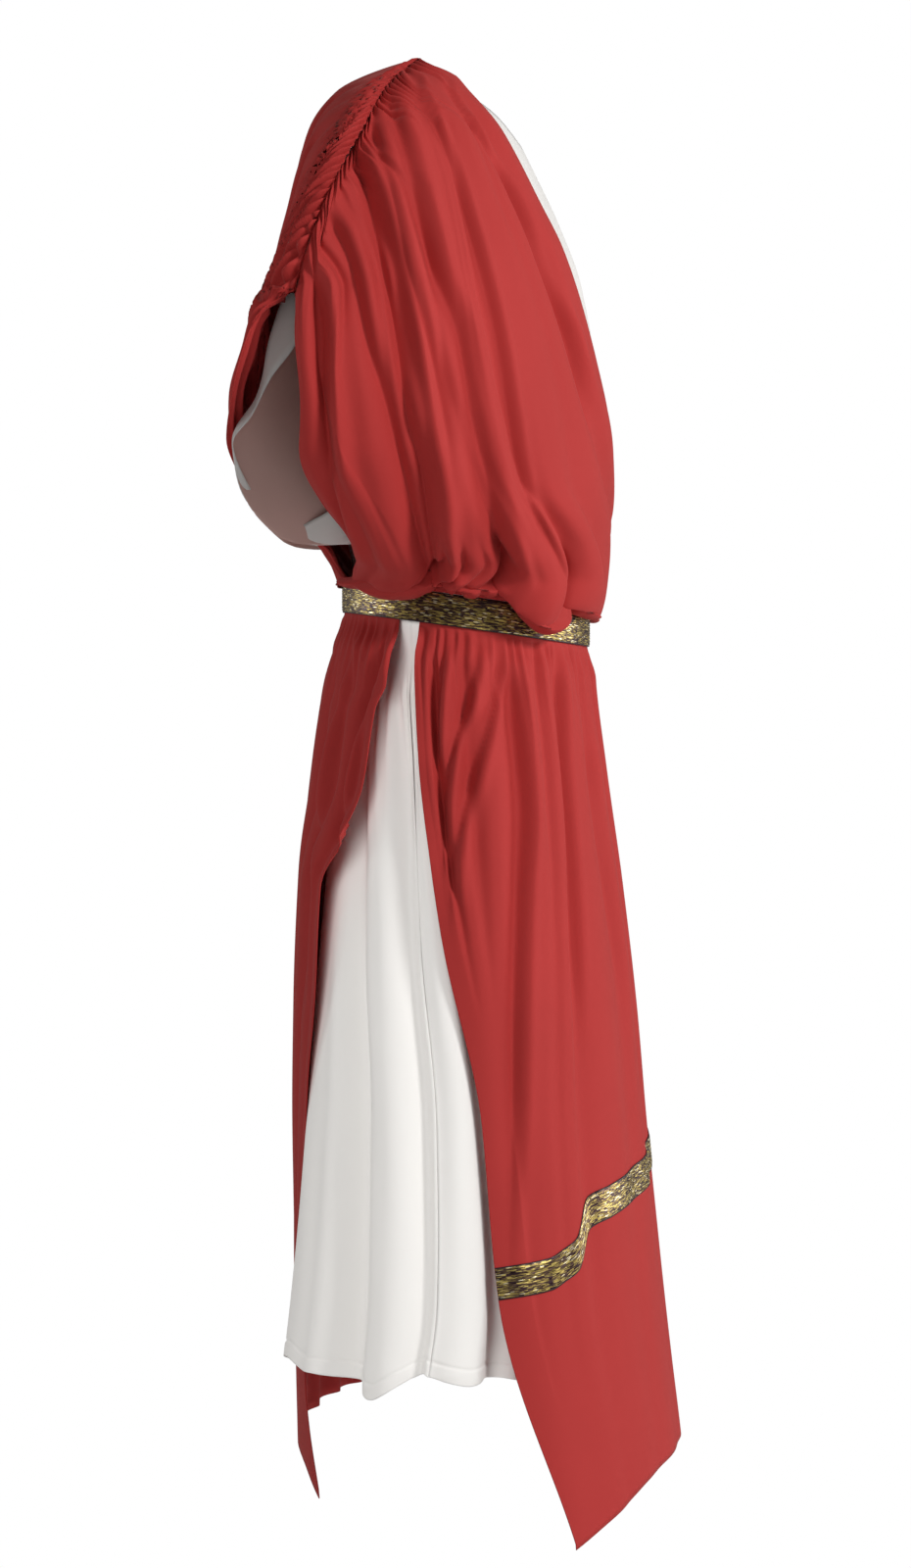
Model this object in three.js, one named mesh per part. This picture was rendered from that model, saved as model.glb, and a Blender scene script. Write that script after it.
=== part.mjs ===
// Roman toga costume, worn form with no wearer, in millimetres.
// +Z is up, the wearer faces -Y and the wearer's right side is -X. Heights are given as "down",
// the distance below the shoulder top. Angles run round the body: 0 front, 90 right, 180 back.
import * as THREE from 'three';

const TOGA_CLOTH = 1.2;
const TUNIC_CLOTH = 1.2;
const SEAM_GAP = 0.35;
const BELT_THICK = 1.6;
const RIBBON_THICK = 1.0;
const RIBBON_WIDTH = 27;
const UNDER_BELT = 0.5;
const BELT_SEGMENTS = 80;
const DEGREE = Math.PI / 180;

const BELT = { half: 150, middle: -12, front: -118, back: 92, topBack: 442, topFront: 471, wide: 27 };
const NECK = { half: 75, frontDrop: 75, backDrop: 22, share: 0.42 };
const NECK_DOWN = 5;
const SHOULDER_DOWN = 48;
const UNDERARM_DOWN = 410;
const SHOULDER_ANGLE = 89.6;
const SLEEVE_CLEAR = 1.6;
const SEAM_FOOT = 203;
const BELT_ZONE = 440;
const BACK_FOOT = { near: 154, far: 271 };
const BACK_STAND = 3.5;
const SEAM_RUN = 10;
const FOOT_RUN = 4;
const BACK_SWING = { top: 18, low: 110, start: 130 };
const PUCKER = { depth: 2.2, fade: 0.16, columns: 3 };

// Rows of each panel, as parts of its fall.
const FRONT_ROWS = [0, 0.03, 0.07, 0.13, 0.21, 0.31, 0.43, 0.56, 0.69, 0.81, 0.9, 0.96, 1];
const BACK_ROWS = [0, 0.015, 0.04, 0.09, 0.17, 0.29, 0.44, 0.6, 0.76, 0.89, 0.97];
const SKIRT_ROWS = [0.05, 0.12, 0.22, 0.34, 0.48, 0.64, 0.82];
const RIBBON_ROW = 2 + SKIRT_ROWS.length;
const SKIRT_RELEASE = 28;
const FOLD_RELEASE = 20;
const SKIRT_TUCK = 6;
const BACK_SKIRT_ROWS = [0.05, 0.14, 0.26, 0.4, 0.56, 0.74, 1];
const TUNIC_UPPER = [0, 0.035, 0.1, 0.21, 0.36, 0.56, 0.78, 1];
const TUNIC_LOWER = [0.09, 0.14, 0.23, 0.38, 0.57, 0.78, 1];

function table(columns, rows) {
  const names = columns.split(' ');
  return rows.map((row) => Object.fromEntries(names.map((name, i) => [name, row[i]])));
}

// Sections of the red drape: width on the sleeve side and on the plain side, with the depth
// at which each is widest, and how far the cloth reaches to the front and to the back.
const TOGA = profile(table('down half middle front back left core', [
  [0, 78, 25, 16, 36, 78, 25],
  [12, 122, 38, -15, 66, 110, 27],
  [31, 168, 53, -31, 99, 150, 30],
  [61, 208, 68, -55, 118, 176, 32],
  [90, 230, 82, -71, 127, 188, 32],
  [126, 247, 96, -88, 133, 192, 30],
  [163, 260, 108, -105, 140, 193, 28],
  [203, 269, 113, -116, 150, 193, 25],
  [260, 273, 110, -125, 165, 192, 20],
  [330, 265, 92, -134, 170, 190, 15],
  [380, 244, 62, -135, 150, 185, 8],
  [420, 212, 30, -131, 120, 177, 0],
  [445, 186, 8, -129, 106, 170, -6],
  [490, 170, -8, -128, 104, 166, -9],
]));
const TOGA_SQUARENESS = 2.4;

// Back of the drape: where its near edge lies, the middle of the back, the swell between
// them over the shoulder blade and sleeve, and the plain side's width and depth.
const BACK_EDGE = profile(table('down across deep spine swell left core', [
  [203, -249, 133, 130, 24, 193, 25],
  [220, -249, 158, 130, 20, 193, 24],
  [246, -246, 172, 130, 15, 192, 22],
  [288, -229, 183, 128, 24, 191, 18],
  [325, -202, 188, 125, 18, 190, 15],
  [350, -182, 180, 121, 10, 187, 10],
  [380, -164, 150, 115, 3, 183, 6],
  [405, -143, 119, 107, 3, 178, 2],
  [417, -128, 103, 101, 3, 174, -2],
  [430, -104, 95, 96, 2, 170, -5],
  [442, -78, 88, 95, 2, 160, -11],
]));
const BACK_SPINE = profile(table('down spine swell', [
  [0, 36, 0],
  [12, 64, 2],
  [31, 96, 4],
  [61, 113, 8],
  [90, 118, 11],
  [126, 123, 12],
  [163, 128, 15],
  [203, 130, 24],
]));

// The shoulder seam of the drape, as an angle round its sections.
const SEAM = profile(table('down angle', [
  [0, 89], [12, 92], [31, 95], [61, 95], [90, 98], [126, 105], [163, 111], [203, 118],
]));

// Fold lines of the front drape, from its free edge at the sleeve to its neck edge. start is
// where the line leaves the seam, a20 to a430 its angle at each depth, foot its angle on the
// belt. high, middle and low give how far it stands out or in, and hang how far it drops
// below the belt's top edge.
const FRONT_FOLDS = table('start a20 a60 a120 a200 a280 a360 a430 foot high middle low hang', [
  [203, 96, 96, 104, 117, 109, 121, 134, 151, 0, 2, -9, 0],
  [176, 96, 96, 104, 105, 101, 113, 126, 143, 3, 5, -5, 0],
  [150, 96, 96, 104, 90, 91, 103, 117, 134, -5, -7, -8, 1],
  [135, 96, 96, 100, 86, 88, 95, 109, 124, 2, 2, 2, 5],
  [121, 96, 96, 96, 84, 85.5, 90, 102, 116, -6, -6, -1, 5],
  [109, 96, 96, 98.5, 80.5, 80.5, 83.5, 95, 110, 3, 3, 3, 2],
  [98, 96, 96, 89, 76.5, 76, 78, 89, 106, -3, -2, -4, -4],
  [88, 96, 96, 84, 74, 73, 75.5, 86, 102.5, 3, 3, -3, -6],
  [77, 95, 95, 79, 71.5, 70, 73, 83, 99, -6, -10, -10, -4],
  [67, 95, 95, 75, 68, 66.5, 68, 74, 88, 4, 5, 4, -4],
  [58, 95, 95, 71, 64, 63, 62, 62, 73, -4, -3, -10, -8],
  [49, 95, 90, 66, 60.5, 59, 58, 55, 61, 3, 2, 5, 9],
  [41, 95, 72, 61, 57.5, 56, 54.5, 49, 53, 0, 1, 5, 15],
  [34, 95, 65, 57.5, 55.5, 53, 51.5, 43, 45, 2, 1, 4, 13],
  [28, 94, 58, 54, 52, 50, 48, 36, 34, -2, -2, -8, -7],
  [22.5, 93, 51, 48, 45, 42, 40, 24, 20, 2, 1, 3, 1],
  [17.5, 92, 46, 42, 37, 32, 30, 10, 0, -1, -1, -1, 3],
  [13, 92, 43, 38, 33, 27, 20, -6, -18, 0, 0, 2, 4],
  [8.5, 62, 39, 34, 28, 20, 8, -22, -40, -4, -6, -5, 1],
  [4, 50, 33, 28, 23, 13, -4, -33, -64, 3, 4, 3, 2],
  [0, 40, 27, 21.5, 16.6, 6.5, -13, -42, -86, 1, 2, 2, 0],
]);
const FRONT_LEVELS = { a20: 20, a60: 60, a120: 120, a200: 200, a280: 280, a360: 360, a430: 430 };

// Fold lines of the back drape. share is the part of the way from the free edge to the neck
// edge that the line has reached once it has swung out of the seam.
const BACK_FOLDS = table('start share high middle low hang', [
  [203, 0.00, 0, 0, 0, 1],
  [176, 0.05, 3, 3, 2, 2],
  [150, 0.10, -3, -2, -1, 1],
  [135, 0.16, 4, 4, 3, 3],
  [121, 0.21, -5, -5, -2, 1],
  [109, 0.26, 5, 4, 3, 4],
  [98, 0.31, -5, -5, -2, 0],
  [88, 0.36, 4, 5, 3, 4],
  [77, 0.41, -6, -6, -2, 2],
  [67, 0.46, 5, 4, 3, 5],
  [58, 0.51, -5, -5, -2, -1],
  [49, 0.56, 4, 5, 3, 3],
  [41, 0.61, -5, -6, -2, 1],
  [34, 0.66, 5, 4, 3, 4],
  [28, 0.71, -4, -5, -2, 0],
  [22.5, 0.76, 4, 5, 3, 3],
  [17.5, 0.81, -5, -5, -2, 1],
  [13, 0.86, 4, 4, 3, 4],
  [8.5, 0.91, -4, -4, -2, 0],
  [4, 0.96, 4, 3, 2, 2],
  [0, 1.00, 0, 0, 0, 1],
]);
// The back neck edge, as turns past the free edge: 1 is the spine and 2 the plain side.
const BACK_NECK = profile(table('down turn', [
  [0, 0.1], [8, 0.5], [20, 0.7], [60, 0.8], [120, 0.86], [200, 0.92], [280, 1.08], [360, 1.31],
  [430, 1.62], [445, 1.97],
]));

// Sections of the red skirt panels below the belt.
const SKIRT = profile(table('down half middle front back', [
  [470, 150, -12, -118, 92],
  [530, 165, -8, -121, 105],
  [600, 182, -7, -129, 115],
  [700, 200, -9, -143, 126],
  [800, 212, -12, -155, 130],
  [900, 222, -16, -164, 131],
  [1000, 232, -21, -175, 131],
  [1100, 240, -28, -187, 130],
  [1166, 245, -32, -195, 129],
  [1255, 250, -38, -203, 126],
]));

// Fold lines of the front skirt, from its right edge round to its left edge.
const SKIRT_FOLDS = table('belt a600 a750 a900 a1050 hem high middle low', [
  [112, 106, 97, 86, 84, 66, 3, 5, 1],
  [109.5, 103.5, 94, 83.5, 81.5, 64, 1, 3, 0],
  [107, 101.3, 91.5, 81.5, 79.5, 62.4, 4, 5, 1],
  [104, 99, 89, 79.8, 77.8, 61, -10, -2, 0],
  [98, 93, 85.5, 78.6, 76.7, 59.8, 4, 2, 1],
  [92, 86, 81.5, 77.4, 75.6, 58.6, -4, 0, 0],
  [84, 77, 76.8, 76, 74.2, 57.4, 4, 3, 1],
  [73, 65.5, 70.5, 73.5, 72, 56, -6, -9, -3],
  [64, 58.5, 62, 66, 66, 53.5, 4, 5, 2],
  [57, 53, 56, 60, 61, 50.8, -2, 0, 0],
  [51.5, 47.5, 51.5, 55.5, 56.5, 48, 3, 3, 1],
  [45, 43, 47, 49.5, 50.5, 44, -5, -6, -3],
  [37, 34, 36, 38, 41, 37.5, 4, 3, 2],
  [28, 24, 22, 24, 30, 29, -4, -4, -1],
  [20, 17, 14, 14, 19, 19.5, 4, 3, 1],
  [12, 9, 5, 4, 8, 9.5, -4, -3, -1],
  [4, 1, -4, -6, -4, -1.5, 4, 4, 3],
  [-5, -8, -12, -17, -15, -13, -4, -4, -3],
  [-14, -17, -21, -27, -26, -24, 4, 5, 5],
  [-24, -26, -30, -36, -36, -34, -5, -6, -5],
  [-35, -36, -39, -44, -45, -42.5, 4, 5, 4],
  [-46, -46, -48, -52, -53, -50, -5, -7, -6],
  [-58, -57, -57, -60, -60, -56.5, 4, 6, 5],
  [-70, -68, -66, -67, -66, -62, -5, -7, -5],
  [-83, -80, -76, -74, -71, -66, 3, 4, 3],
  [-94, -90, -84, -79, -75.5, -69.3, -3, -2, -1],
  [-104, -99, -91, -84, -80, -72, 2, 2, 1],
]);
const SKIRT_LEVELS = { belt: 480, a600: 600, a750: 750, a900: 900, a1050: 1050, hem: 1250 };
const FRONT_HEM = profile(table('angle down', [
  [-72, 1080], [-50, 1115], [-24, 1144], [0, 1163], [20, 1179], [36, 1199], [51, 1227], [66, 1255],
]), 'angle');
const RIBBON_TOP = profile(table('angle down', [
  [-82, 838], [-50, 862], [-10, 902], [5, 920], [17, 930], [41, 951], [49, 959], [53, 974], [57, 995],
  [62, 1004], [67, 1011], [87, 1020],
]), 'angle');

// The back skirt's two edges, and its fold lines as shares of the way between them.
const BACK_SKIRT_EDGES = profile(table('down near far', [
  [480, 123, 249],
  [531, 122.5, 246],
  [550, 126.5, 245],
  [614, 129.5, 242],
  [672, 142, 239],
  [700, 149, 237],
  [780, 155, 235],
  [870, 163, 232],
  [955, 167, 231],
  [1110, 166, 230],
  [1210, 155, 230],
]));
const BACK_SKIRT_SQUARENESS = 2.4;
const BACK_SKIRT_FOLDS = table('share high middle low', [
  [0, 3, 3, 3],
  [0.05, -3, -2, 0],
  [0.11, 5, 5, 3],
  [0.18, -6, -5, -1],
  [0.25, 5, 4, 5],
  [0.32, -5, -4, -3],
  [0.39, 4, 4, 5],
  [0.46, -5, -5, -4],
  [0.54, 5, 5, 4],
  [0.62, -5, -5, -4],
  [0.70, 4, 5, 5],
  [0.79, -5, -5, -5],
  [0.88, 4, 5, 4],
  [0.95, -3, -4, -4],
  [1, 2, 2, 2],
]);
const BACK_HEM = profile(table('angle down', [
  [152, 1220], [165, 1188], [180, 1166], [200, 1148], [215, 1134], [230, 1124],
]), 'angle');

// Sections of the white tunic, the same on both sides.
const TUNIC = profile(table('down half middle front back', [
  [5, 76, 25, 14, 33],
  [16, 104, 27, -10, 50],
  [34, 142, 30, -30, 74],
  [48, 164, 31, -43, 85],
  [75, 174, 32, -60, 97],
  [95, 177, 31, -70, 102],
  [149, 178, 28, -95, 108],
  [194, 180, 25, -111, 112],
  [261, 181, 20, -121, 113],
  [330, 177, 13, -122, 108],
  [400, 159, 0, -117, 90],
  [425, 148, -9, -114, 84],
  [440, 145, -12, -113, 83],
  [500, 145, -12, -113, 83],
  [540, 154, -9, -111, 93],
  [600, 165, -6, -112, 101],
  [700, 184, -4, -113, 107],
  [800, 200, -2, -114, 112],
  [900, 213, 0, -115, 114],
  [1000, 225, 2, -116, 116],
  [1110, 238, 5, -117, 118],
]));
// Where the front and back panels end at the sides: round the armholes, then down one side seam.
const ARMHOLE = profile(table('down front back', [
  [48, 89.6, 90.4],
  [80, 75, 106],
  [120, 69, 112],
  [220, 65, 116],
  [330, 76, 106],
  [410, 95, 95],
]));
const SIDE_SEAM = profile(table('down angle', [
  [410, 95], [480, 118], [600, 110.5], [750, 104.5], [900, 96], [1050, 94], [1110, 97],
]));
// Fold lines of the tunic panels as shares of the way between the side seams.
const TUNIC_FRONT_FOLDS = table('waist hem high middle low drop', [
  [1, 1, -1, -1, -1, 0],
  [0.97, 0.84, 3, 6, 7, 8],
  [0.92, 0.73, -4, -8, -8, 0],
  [0.80, 0.60, 3, 5, 6, 4],
  [0.60, 0.42, -3, -6, -7, -2],
  [0.42, 0.26, 3, 5, 6, 3],
  [0.20, 0.12, -2, -3, -4, 0],
  [0, 0, 2, 3, 4, 3],
  [-0.20, -0.12, -2, -3, -4, 0],
  [-0.42, -0.28, 3, 5, 6, 4],
  [-0.60, -0.45, -3, -6, -7, -2],
  [-0.80, -0.62, 3, 5, 6, 5],
  [-0.92, -0.76, -3, -6, -7, 0],
  [-0.97, -0.87, 3, 5, 6, 6],
  [-1, -1, -1, -1, -1, 0],
]);
const TUNIC_BACK_FOLDS = table('waist hem high middle low drop', [
  [0, 0, -1, -1, -1, 0],
  [0.03, 0.035, -5, -7, -8, -2],
  [0.12, 0.13, 5, 8, 9, 20],
  [0.20, 0.20, -4, -7, -4, 4],
  [0.27, 0.27, 3, 10, 32, -2],
  [0.33, 0.33, 3, 12, 37, -14],
  [0.40, 0.39, -4, -4, -10, -4],
  [0.50, 0.50, -1, -2, -5, 0],
  [0.61, 0.60, -4, -6, -8, -2],
  [0.70, 0.69, 3, 3, 2, 6],
  [0.80, 0.80, -5, -8, -9, 0],
  [0.90, 0.89, 3, 4, 5, 8],
  [0.97, 0.965, -4, -6, -6, 0],
  [1, 1, -1, -1, -1, 0],
]);
const TUNIC_HEM = 1110;

// The sleeve's rings: the part of the way from armhole to rim, and how much of its swell shows.
const SLEEVE_RINGS = table('along swell', [
  [0, 0], [0.2, 0.45], [0.45, 0.85], [0.7, 1], [0.88, 0.7], [1, 0],
]);
// The sleeve's rim in the order of its turn, from the top over the front, and the cloth's swell.
const SLEEVE_RIM = profile(table('turn across deep down swell', [
  [0, -246, 112, 214, 14],
  [30, -244, 80, 220, 6],
  [60, -236, 54, 244, 0],
  [90, -226, 42, 292, 0],
  [120, -212, 48, 340, 3],
  [150, -198, 76, 368, 2],
  [180, -181, 112, 391, 7],
  [205, -177, 140, 402, 16],
  [232, -192, 168, 366, 30],
  [260, -212, 183, 330, 18],
  [290, -226, 167, 306, 10],
  [320, -234, 150, 274, 24],
  [345, -240, 133, 252, 34],
  [360, -246, 112, 214, 14],
]), 'turn');
const SLEEVE_COLUMNS = 28;

// A smooth curve through points that stays between neighbouring values.
function curve(at, value) {
  const slope = at.slice(1).map((x, i) => (value[i + 1] - value[i]) / (x - at[i]));
  const tangent = value.map((_, i) => {
    if (i === 0) return slope[0];
    if (i === slope.length) return slope[i - 1];
    const before = slope[i - 1];
    const after = slope[i];
    return before * after <= 0 ? 0 : (2 * before * after) / (before + after);
  });
  return (x) => {
    if (x <= at[0]) return value[0];
    if (x >= at[at.length - 1]) return value[at.length - 1];
    let i = 0;
    while (x > at[i + 1]) i += 1;
    const width = at[i + 1] - at[i];
    const t = (x - at[i]) / width;
    const s = 1 - t;
    return s * s * (1 + 2 * t) * value[i] + t * s * s * width * tangent[i]
      + t * t * (3 - 2 * t) * value[i + 1] - t * t * s * width * tangent[i + 1];
  };
}

// One smooth curve for each column of a table, read at any value of its key.
function profile(rows, key = 'down') {
  const at = rows.map((row) => row[key]);
  const names = Object.keys(rows[0]).filter((name) => name !== key);
  return Object.fromEntries(names.map((name) => [name, curve(at, rows.map((row) => row[name]))]));
}

const mix = (a, b, t) => a + (b - a) * t;
const clamp = (t) => Math.min(1, Math.max(0, t));
const ease = (t) => clamp(t) ** 2 * (3 - 2 * clamp(t));

// A point on a section, at a depth and an angle round the body. A squareness over 2 fills
// out the section's corners.
function around(section, down, angle, squareness = 2) {
  const sine = Math.sin(angle * DEGREE);
  const cosine = Math.cos(angle * DEGREE);
  const plain = sine < 0 && section.left;
  const half = plain ? section.left(down) : section.half(down);
  const middle = plain ? section.core(down) : section.middle(down);
  const reach = cosine > 0 ? middle - section.front(down) : section.back(down) - middle;
  const across = Math.sign(sine) * (1 - Math.abs(cosine) ** squareness) ** (1 / squareness);
  return new THREE.Vector3(-half * across, middle - reach * cosine, -down);
}

// The direction round a section, which cloth walls keep square to at a seam.
function seamDirection(section, down, angle, squareness) {
  return around(section, down, angle + 1, squareness).sub(around(section, down, angle - 1, squareness)).normalize();
}

// A point on the belt's outer face, or out from it, at a height.
function onBelt(angle, out, height) {
  const sine = Math.sin(angle * DEGREE);
  const cosine = Math.cos(angle * DEGREE);
  const reach = (cosine > 0 ? BELT.middle - BELT.front : BELT.back - BELT.middle) + out;
  return new THREE.Vector3(-(BELT.half + out) * sine, BELT.middle - reach * cosine, height);
}

// How far below the shoulder the belt's top edge lies, which dips towards the front.
function beltTop(angle) {
  const deep = onBelt(angle, 0, 0).y;
  return mix(BELT.topBack, BELT.topFront, (BELT.back - deep) / (BELT.back - BELT.front));
}

// A value read between neighbouring fold lines: smooth for their lie, in waves for their depth.
function between(lines, c, read) {
  const last = lines.length - 1;
  const k = Math.max(0, Math.min(Math.floor(c), last - 1));
  const t = c - k;
  const a = read(lines[k]);
  const b = read(lines[k + 1]);
  const before = k > 0 ? read(lines[k - 1]) : 2 * a - b;
  const after = k + 1 < last ? read(lines[k + 2]) : 2 * b - a;
  return a + 0.5 * t * (b - before + t * (2 * before - 5 * a + 4 * b - after
    + t * (3 * (a - b) + after - before)));
}
function wave(lines, c, read) {
  const k = Math.max(0, Math.min(Math.floor(c), lines.length - 2));
  return mix(read(lines[k]), read(lines[k + 1]), 0.5 - 0.5 * Math.cos((c - k) * Math.PI));
}

// Moves a point of a smooth surface out along its normal. facing is 1 where the columns run from
// the wearer's right to left across the front, and -1 across the back.
function raise(surface, c, w, out, facing, step = 0.02) {
  const along = surface(c + 0.02, w).sub(surface(c - 0.02, w));
  const down = surface(c, w + step).sub(surface(c, w - step));
  const normal = down.cross(along).normalize();
  return surface(c, w).addScaledVector(normal, out * facing);
}

// Normals of a grid of points, pointing to its outer side. A point on a seam names the
// direction across it, and its normal keeps square to that.
function gridNormals(points) {
  const normals = points.map((column) => column.map(() => new THREE.Vector3()));
  for (let i = 0; i < points.length - 1; i += 1) {
    for (let j = 0; j < points[0].length - 1; j += 1) {
      const corners = [[i, j], [i, j + 1], [i + 1, j + 1], [i + 1, j]];
      const [a, b, c, d] = corners.map(([m, n]) => points[m][n]);
      const face = c.clone().sub(a).cross(d.clone().sub(b)).normalize();
      corners.forEach(([m, n]) => normals[m][n].add(face));
    }
  }
  normals.forEach((column, i) => column.forEach((normal, j) => {
    const { seam } = points[i][j];
    if (seam) normal.addScaledVector(seam, -normal.dot(seam));
    normal.normalize();
  }));
  return normals;
}

// A grid moved out from another along the first one's normals.
function movedOut(points, out) {
  const normals = gridNormals(points);
  return points.map((column, i) => column.map((p, j) => p.clone().addScaledVector(normals[i][j], out)));
}

function meshOf(points, faces) {
  const geometry = new THREE.BufferGeometry();
  geometry.setAttribute('position', new THREE.Float32BufferAttribute(points.flatMap((p) => [p.x, p.y, p.z]), 3));
  geometry.setIndex(faces);
  geometry.computeVertexNormals();
  return geometry;
}

// A closed wall of cloth between an outer and an inner grid.
function wall(outer, inner) {
  const columns = outer.length;
  const rows = outer[0].length;
  const at = (side, i, j) => side * columns * rows + i * rows + j;
  const faces = [];
  for (let i = 0; i < columns - 1; i += 1) {
    for (let j = 0; j < rows - 1; j += 1) {
      faces.push(at(0, i, j), at(0, i, j + 1), at(0, i + 1, j + 1));
      faces.push(at(0, i, j), at(0, i + 1, j + 1), at(0, i + 1, j));
      faces.push(at(1, i, j), at(1, i + 1, j + 1), at(1, i, j + 1));
      faces.push(at(1, i, j), at(1, i + 1, j), at(1, i + 1, j + 1));
    }
  }
  const close = (a, b) => {
    faces.push(at(0, ...a), at(0, ...b), at(1, ...b));
    faces.push(at(0, ...a), at(1, ...b), at(1, ...a));
  };
  for (let i = 0; i < columns - 1; i += 1) {
    close([i, 0], [i + 1, 0]);
    close([i + 1, rows - 1], [i, rows - 1]);
  }
  for (let j = 0; j < rows - 1; j += 1) {
    close([0, j + 1], [0, j]);
    close([columns - 1, j], [columns - 1, j + 1]);
  }
  return meshOf([...outer.flat(), ...inner.flat()], faces);
}

const clothWall = (outer, thick) => wall(outer, movedOut(outer, -thick));

// A fold line of the front drape, which leaves the shoulder seam and ends on the belt.
function frontLine(fold) {
  const end = beltTop(fold.foot) + fold.hang;
  const stations = Object.entries(FRONT_LEVELS)
    .filter(([, down]) => down > fold.start + SEAM_RUN && down < end - FOOT_RUN)
    .map(([name, down]) => [down, fold[name]]);
  const path = [[fold.start, SEAM.angle(fold.start)], ...stations, [end, fold.foot]];
  const angle = curve(path.map(([down]) => down), path.map(([, value]) => value));
  const depth = curve([0, 0.22, 0.55, 0.93, 1], [0, fold.high, fold.middle, fold.low, fold.low * 0.8]);
  return { start: fold.start, end, foot: fold.foot, angle, depth };
}

// Small puckers beside the gathered seam, one for every two columns.
function pucker(c, w) {
  return PUCKER.depth * Math.sin((c * PUCKER.columns - 0.5) * Math.PI) * ease(1 - w / PUCKER.fade);
}

// Rows of a bloused edge: down to the lobe's foot, under it and back in to the belt's top edge.
function tuck(angle, foot, top) {
  const ring = onBelt(angle, 0, 0);
  const outward = onBelt(angle, 1, 0).sub(ring);
  const stand = foot.clone().sub(ring).setZ(0).dot(outward);
  const hang = -foot.z - top;
  const under = onBelt(angle, mix(1.2, stand, 0.5), foot.z - Math.min(3, stand * 0.2));
  const back = onBelt(angle, 1.0, -top - Math.max(-2.5, Math.min(1.4, hang * 0.5)));
  const end = onBelt(angle, 0.15, -top + SEAM_GAP);
  return [under, back, end];
}

// A point of the gathered seam, drawn out and in by its puckers, on the front or back edge.
function seamPoint(c, down, facing) {
  const point = around(TOGA, down, SEAM.angle(down), TOGA_SQUARENESS);
  const outward = new THREE.Vector3(point.x, 0, -point.x * mix(1, 0.3, ease(down / 90))).normalize();
  const seam = seamDirection(TOGA, down, SEAM.angle(down), TOGA_SQUARENESS);
  point.addScaledVector(outward, pucker(c, 0)).addScaledVector(seam, (-facing * SEAM_GAP) / 2);
  return Object.assign(point, { seam });
}

// A drape from the shoulder seam to the belt: the rows of each column, then its tucked edge.
function drape(lines, rows, surface, facing, foot) {
  const grid = [];
  for (let i = 0; i <= (lines.length - 1) * PUCKER.columns; i += 1) {
    const c = i / PUCKER.columns;
    const column = rows.map((w) => {
      const out = wave(lines, c, (line) => line.depth(w)) + pucker(c, w);
      return raise(surface, c, w, out, facing);
    });
    column[0] = seamPoint(c, between(lines, c, (line) => line.start), facing);
    const angle = between(lines, c, (line) => line.foot);
    column.push(...tuck(angle, foot(angle, column[column.length - 1]), beltTop(angle)));
    grid.push(column);
  }
  return clothWall(facing > 0 ? grid : grid.reverse(), TOGA_CLOTH);
}

function togaFrontBodice() {
  const lines = FRONT_FOLDS.map(frontLine);
  const surface = (c, w) => {
    const down = mix(between(lines, c, (line) => line.start), between(lines, c, (line) => line.end), w);
    return around(TOGA, down, between(lines, c, (line) => line.angle(down)), TOGA_SQUARENESS);
  };
  return drape(lines, FRONT_ROWS, surface, 1, (angle, last) => last);
}

// A point of the back drape: 0 is its free edge or the seam, 1 the spine and 2 the plain side.
function backPoint(down, turn) {
  const seamed = down < SEAM_FOOT;
  const rows = seamed ? BACK_SPINE : BACK_EDGE;
  const edge = seamed ? around(TOGA, down, SEAM.angle(down), TOGA_SQUARENESS)
    : new THREE.Vector3(BACK_EDGE.across(down), BACK_EDGE.deep(down), -down);
  const spine = rows.spine(down);
  const quarter = (turn * Math.PI) / 2;
  if (turn <= 1) {
    const deep = mix(edge.y, spine, Math.sin(quarter)) + rows.swell(down) * Math.sin(turn * Math.PI);
    return new THREE.Vector3(edge.x * Math.cos(quarter), deep, -down);
  }
  const side = seamed ? TOGA : BACK_EDGE;
  return new THREE.Vector3(-side.left(down) * Math.cos(quarter), mix(side.core(down), spine, Math.sin(quarter)), -down);
}

function backLine(fold) {
  const foot = mix(BACK_FOOT.near, BACK_FOOT.far, fold.share);
  const end = beltTop(foot) + fold.hang;
  const swing = mix(BACK_SWING.top, BACK_SWING.low, ease(fold.start / BACK_SWING.start));
  const turn = (down) => fold.share * BACK_NECK.turn(down) * (1 - (1 - clamp((down - fold.start) / swing)) ** 2);
  const depth = curve([0, 0.2, 0.6, 0.93, 1], [0, fold.high, fold.middle, fold.low, 0]);
  return { start: fold.start, end, foot, turn, depth };
}

function togaBackBodice() {
  const lines = BACK_FOLDS.map(backLine);
  const surface = (c, w) => {
    const down = mix(between(lines, c, (line) => line.start), between(lines, c, (line) => line.end), w);
    return backPoint(down, Math.max(0, between(lines, c, (line) => line.turn(down))));
  };
  return drape(lines, BACK_ROWS, surface, -1, (angle, last) => onBelt(angle, BACK_STAND, last.z));
}

// Skirt cloth at a depth and angle: flat behind the belt, then out to its own sections.
function skirtPoint(down, angle, squareness) {
  const free = down - beltTop(angle) - BELT.wide;
  const held = onBelt(angle, -BELT_THICK - UNDER_BELT, -down);
  return free <= 0 ? held : held.lerp(around(SKIRT, down, angle, squareness), ease(free / SKIRT_RELEASE));
}

// How far a skirt's fold stands out or in, from its first open row down to the hem.
function skirtDepth(fold) {
  return curve([498, 525, 590, 820, 1150], [0, fold.high * 0.8, fold.high, fold.middle, fold.low]);
}

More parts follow.
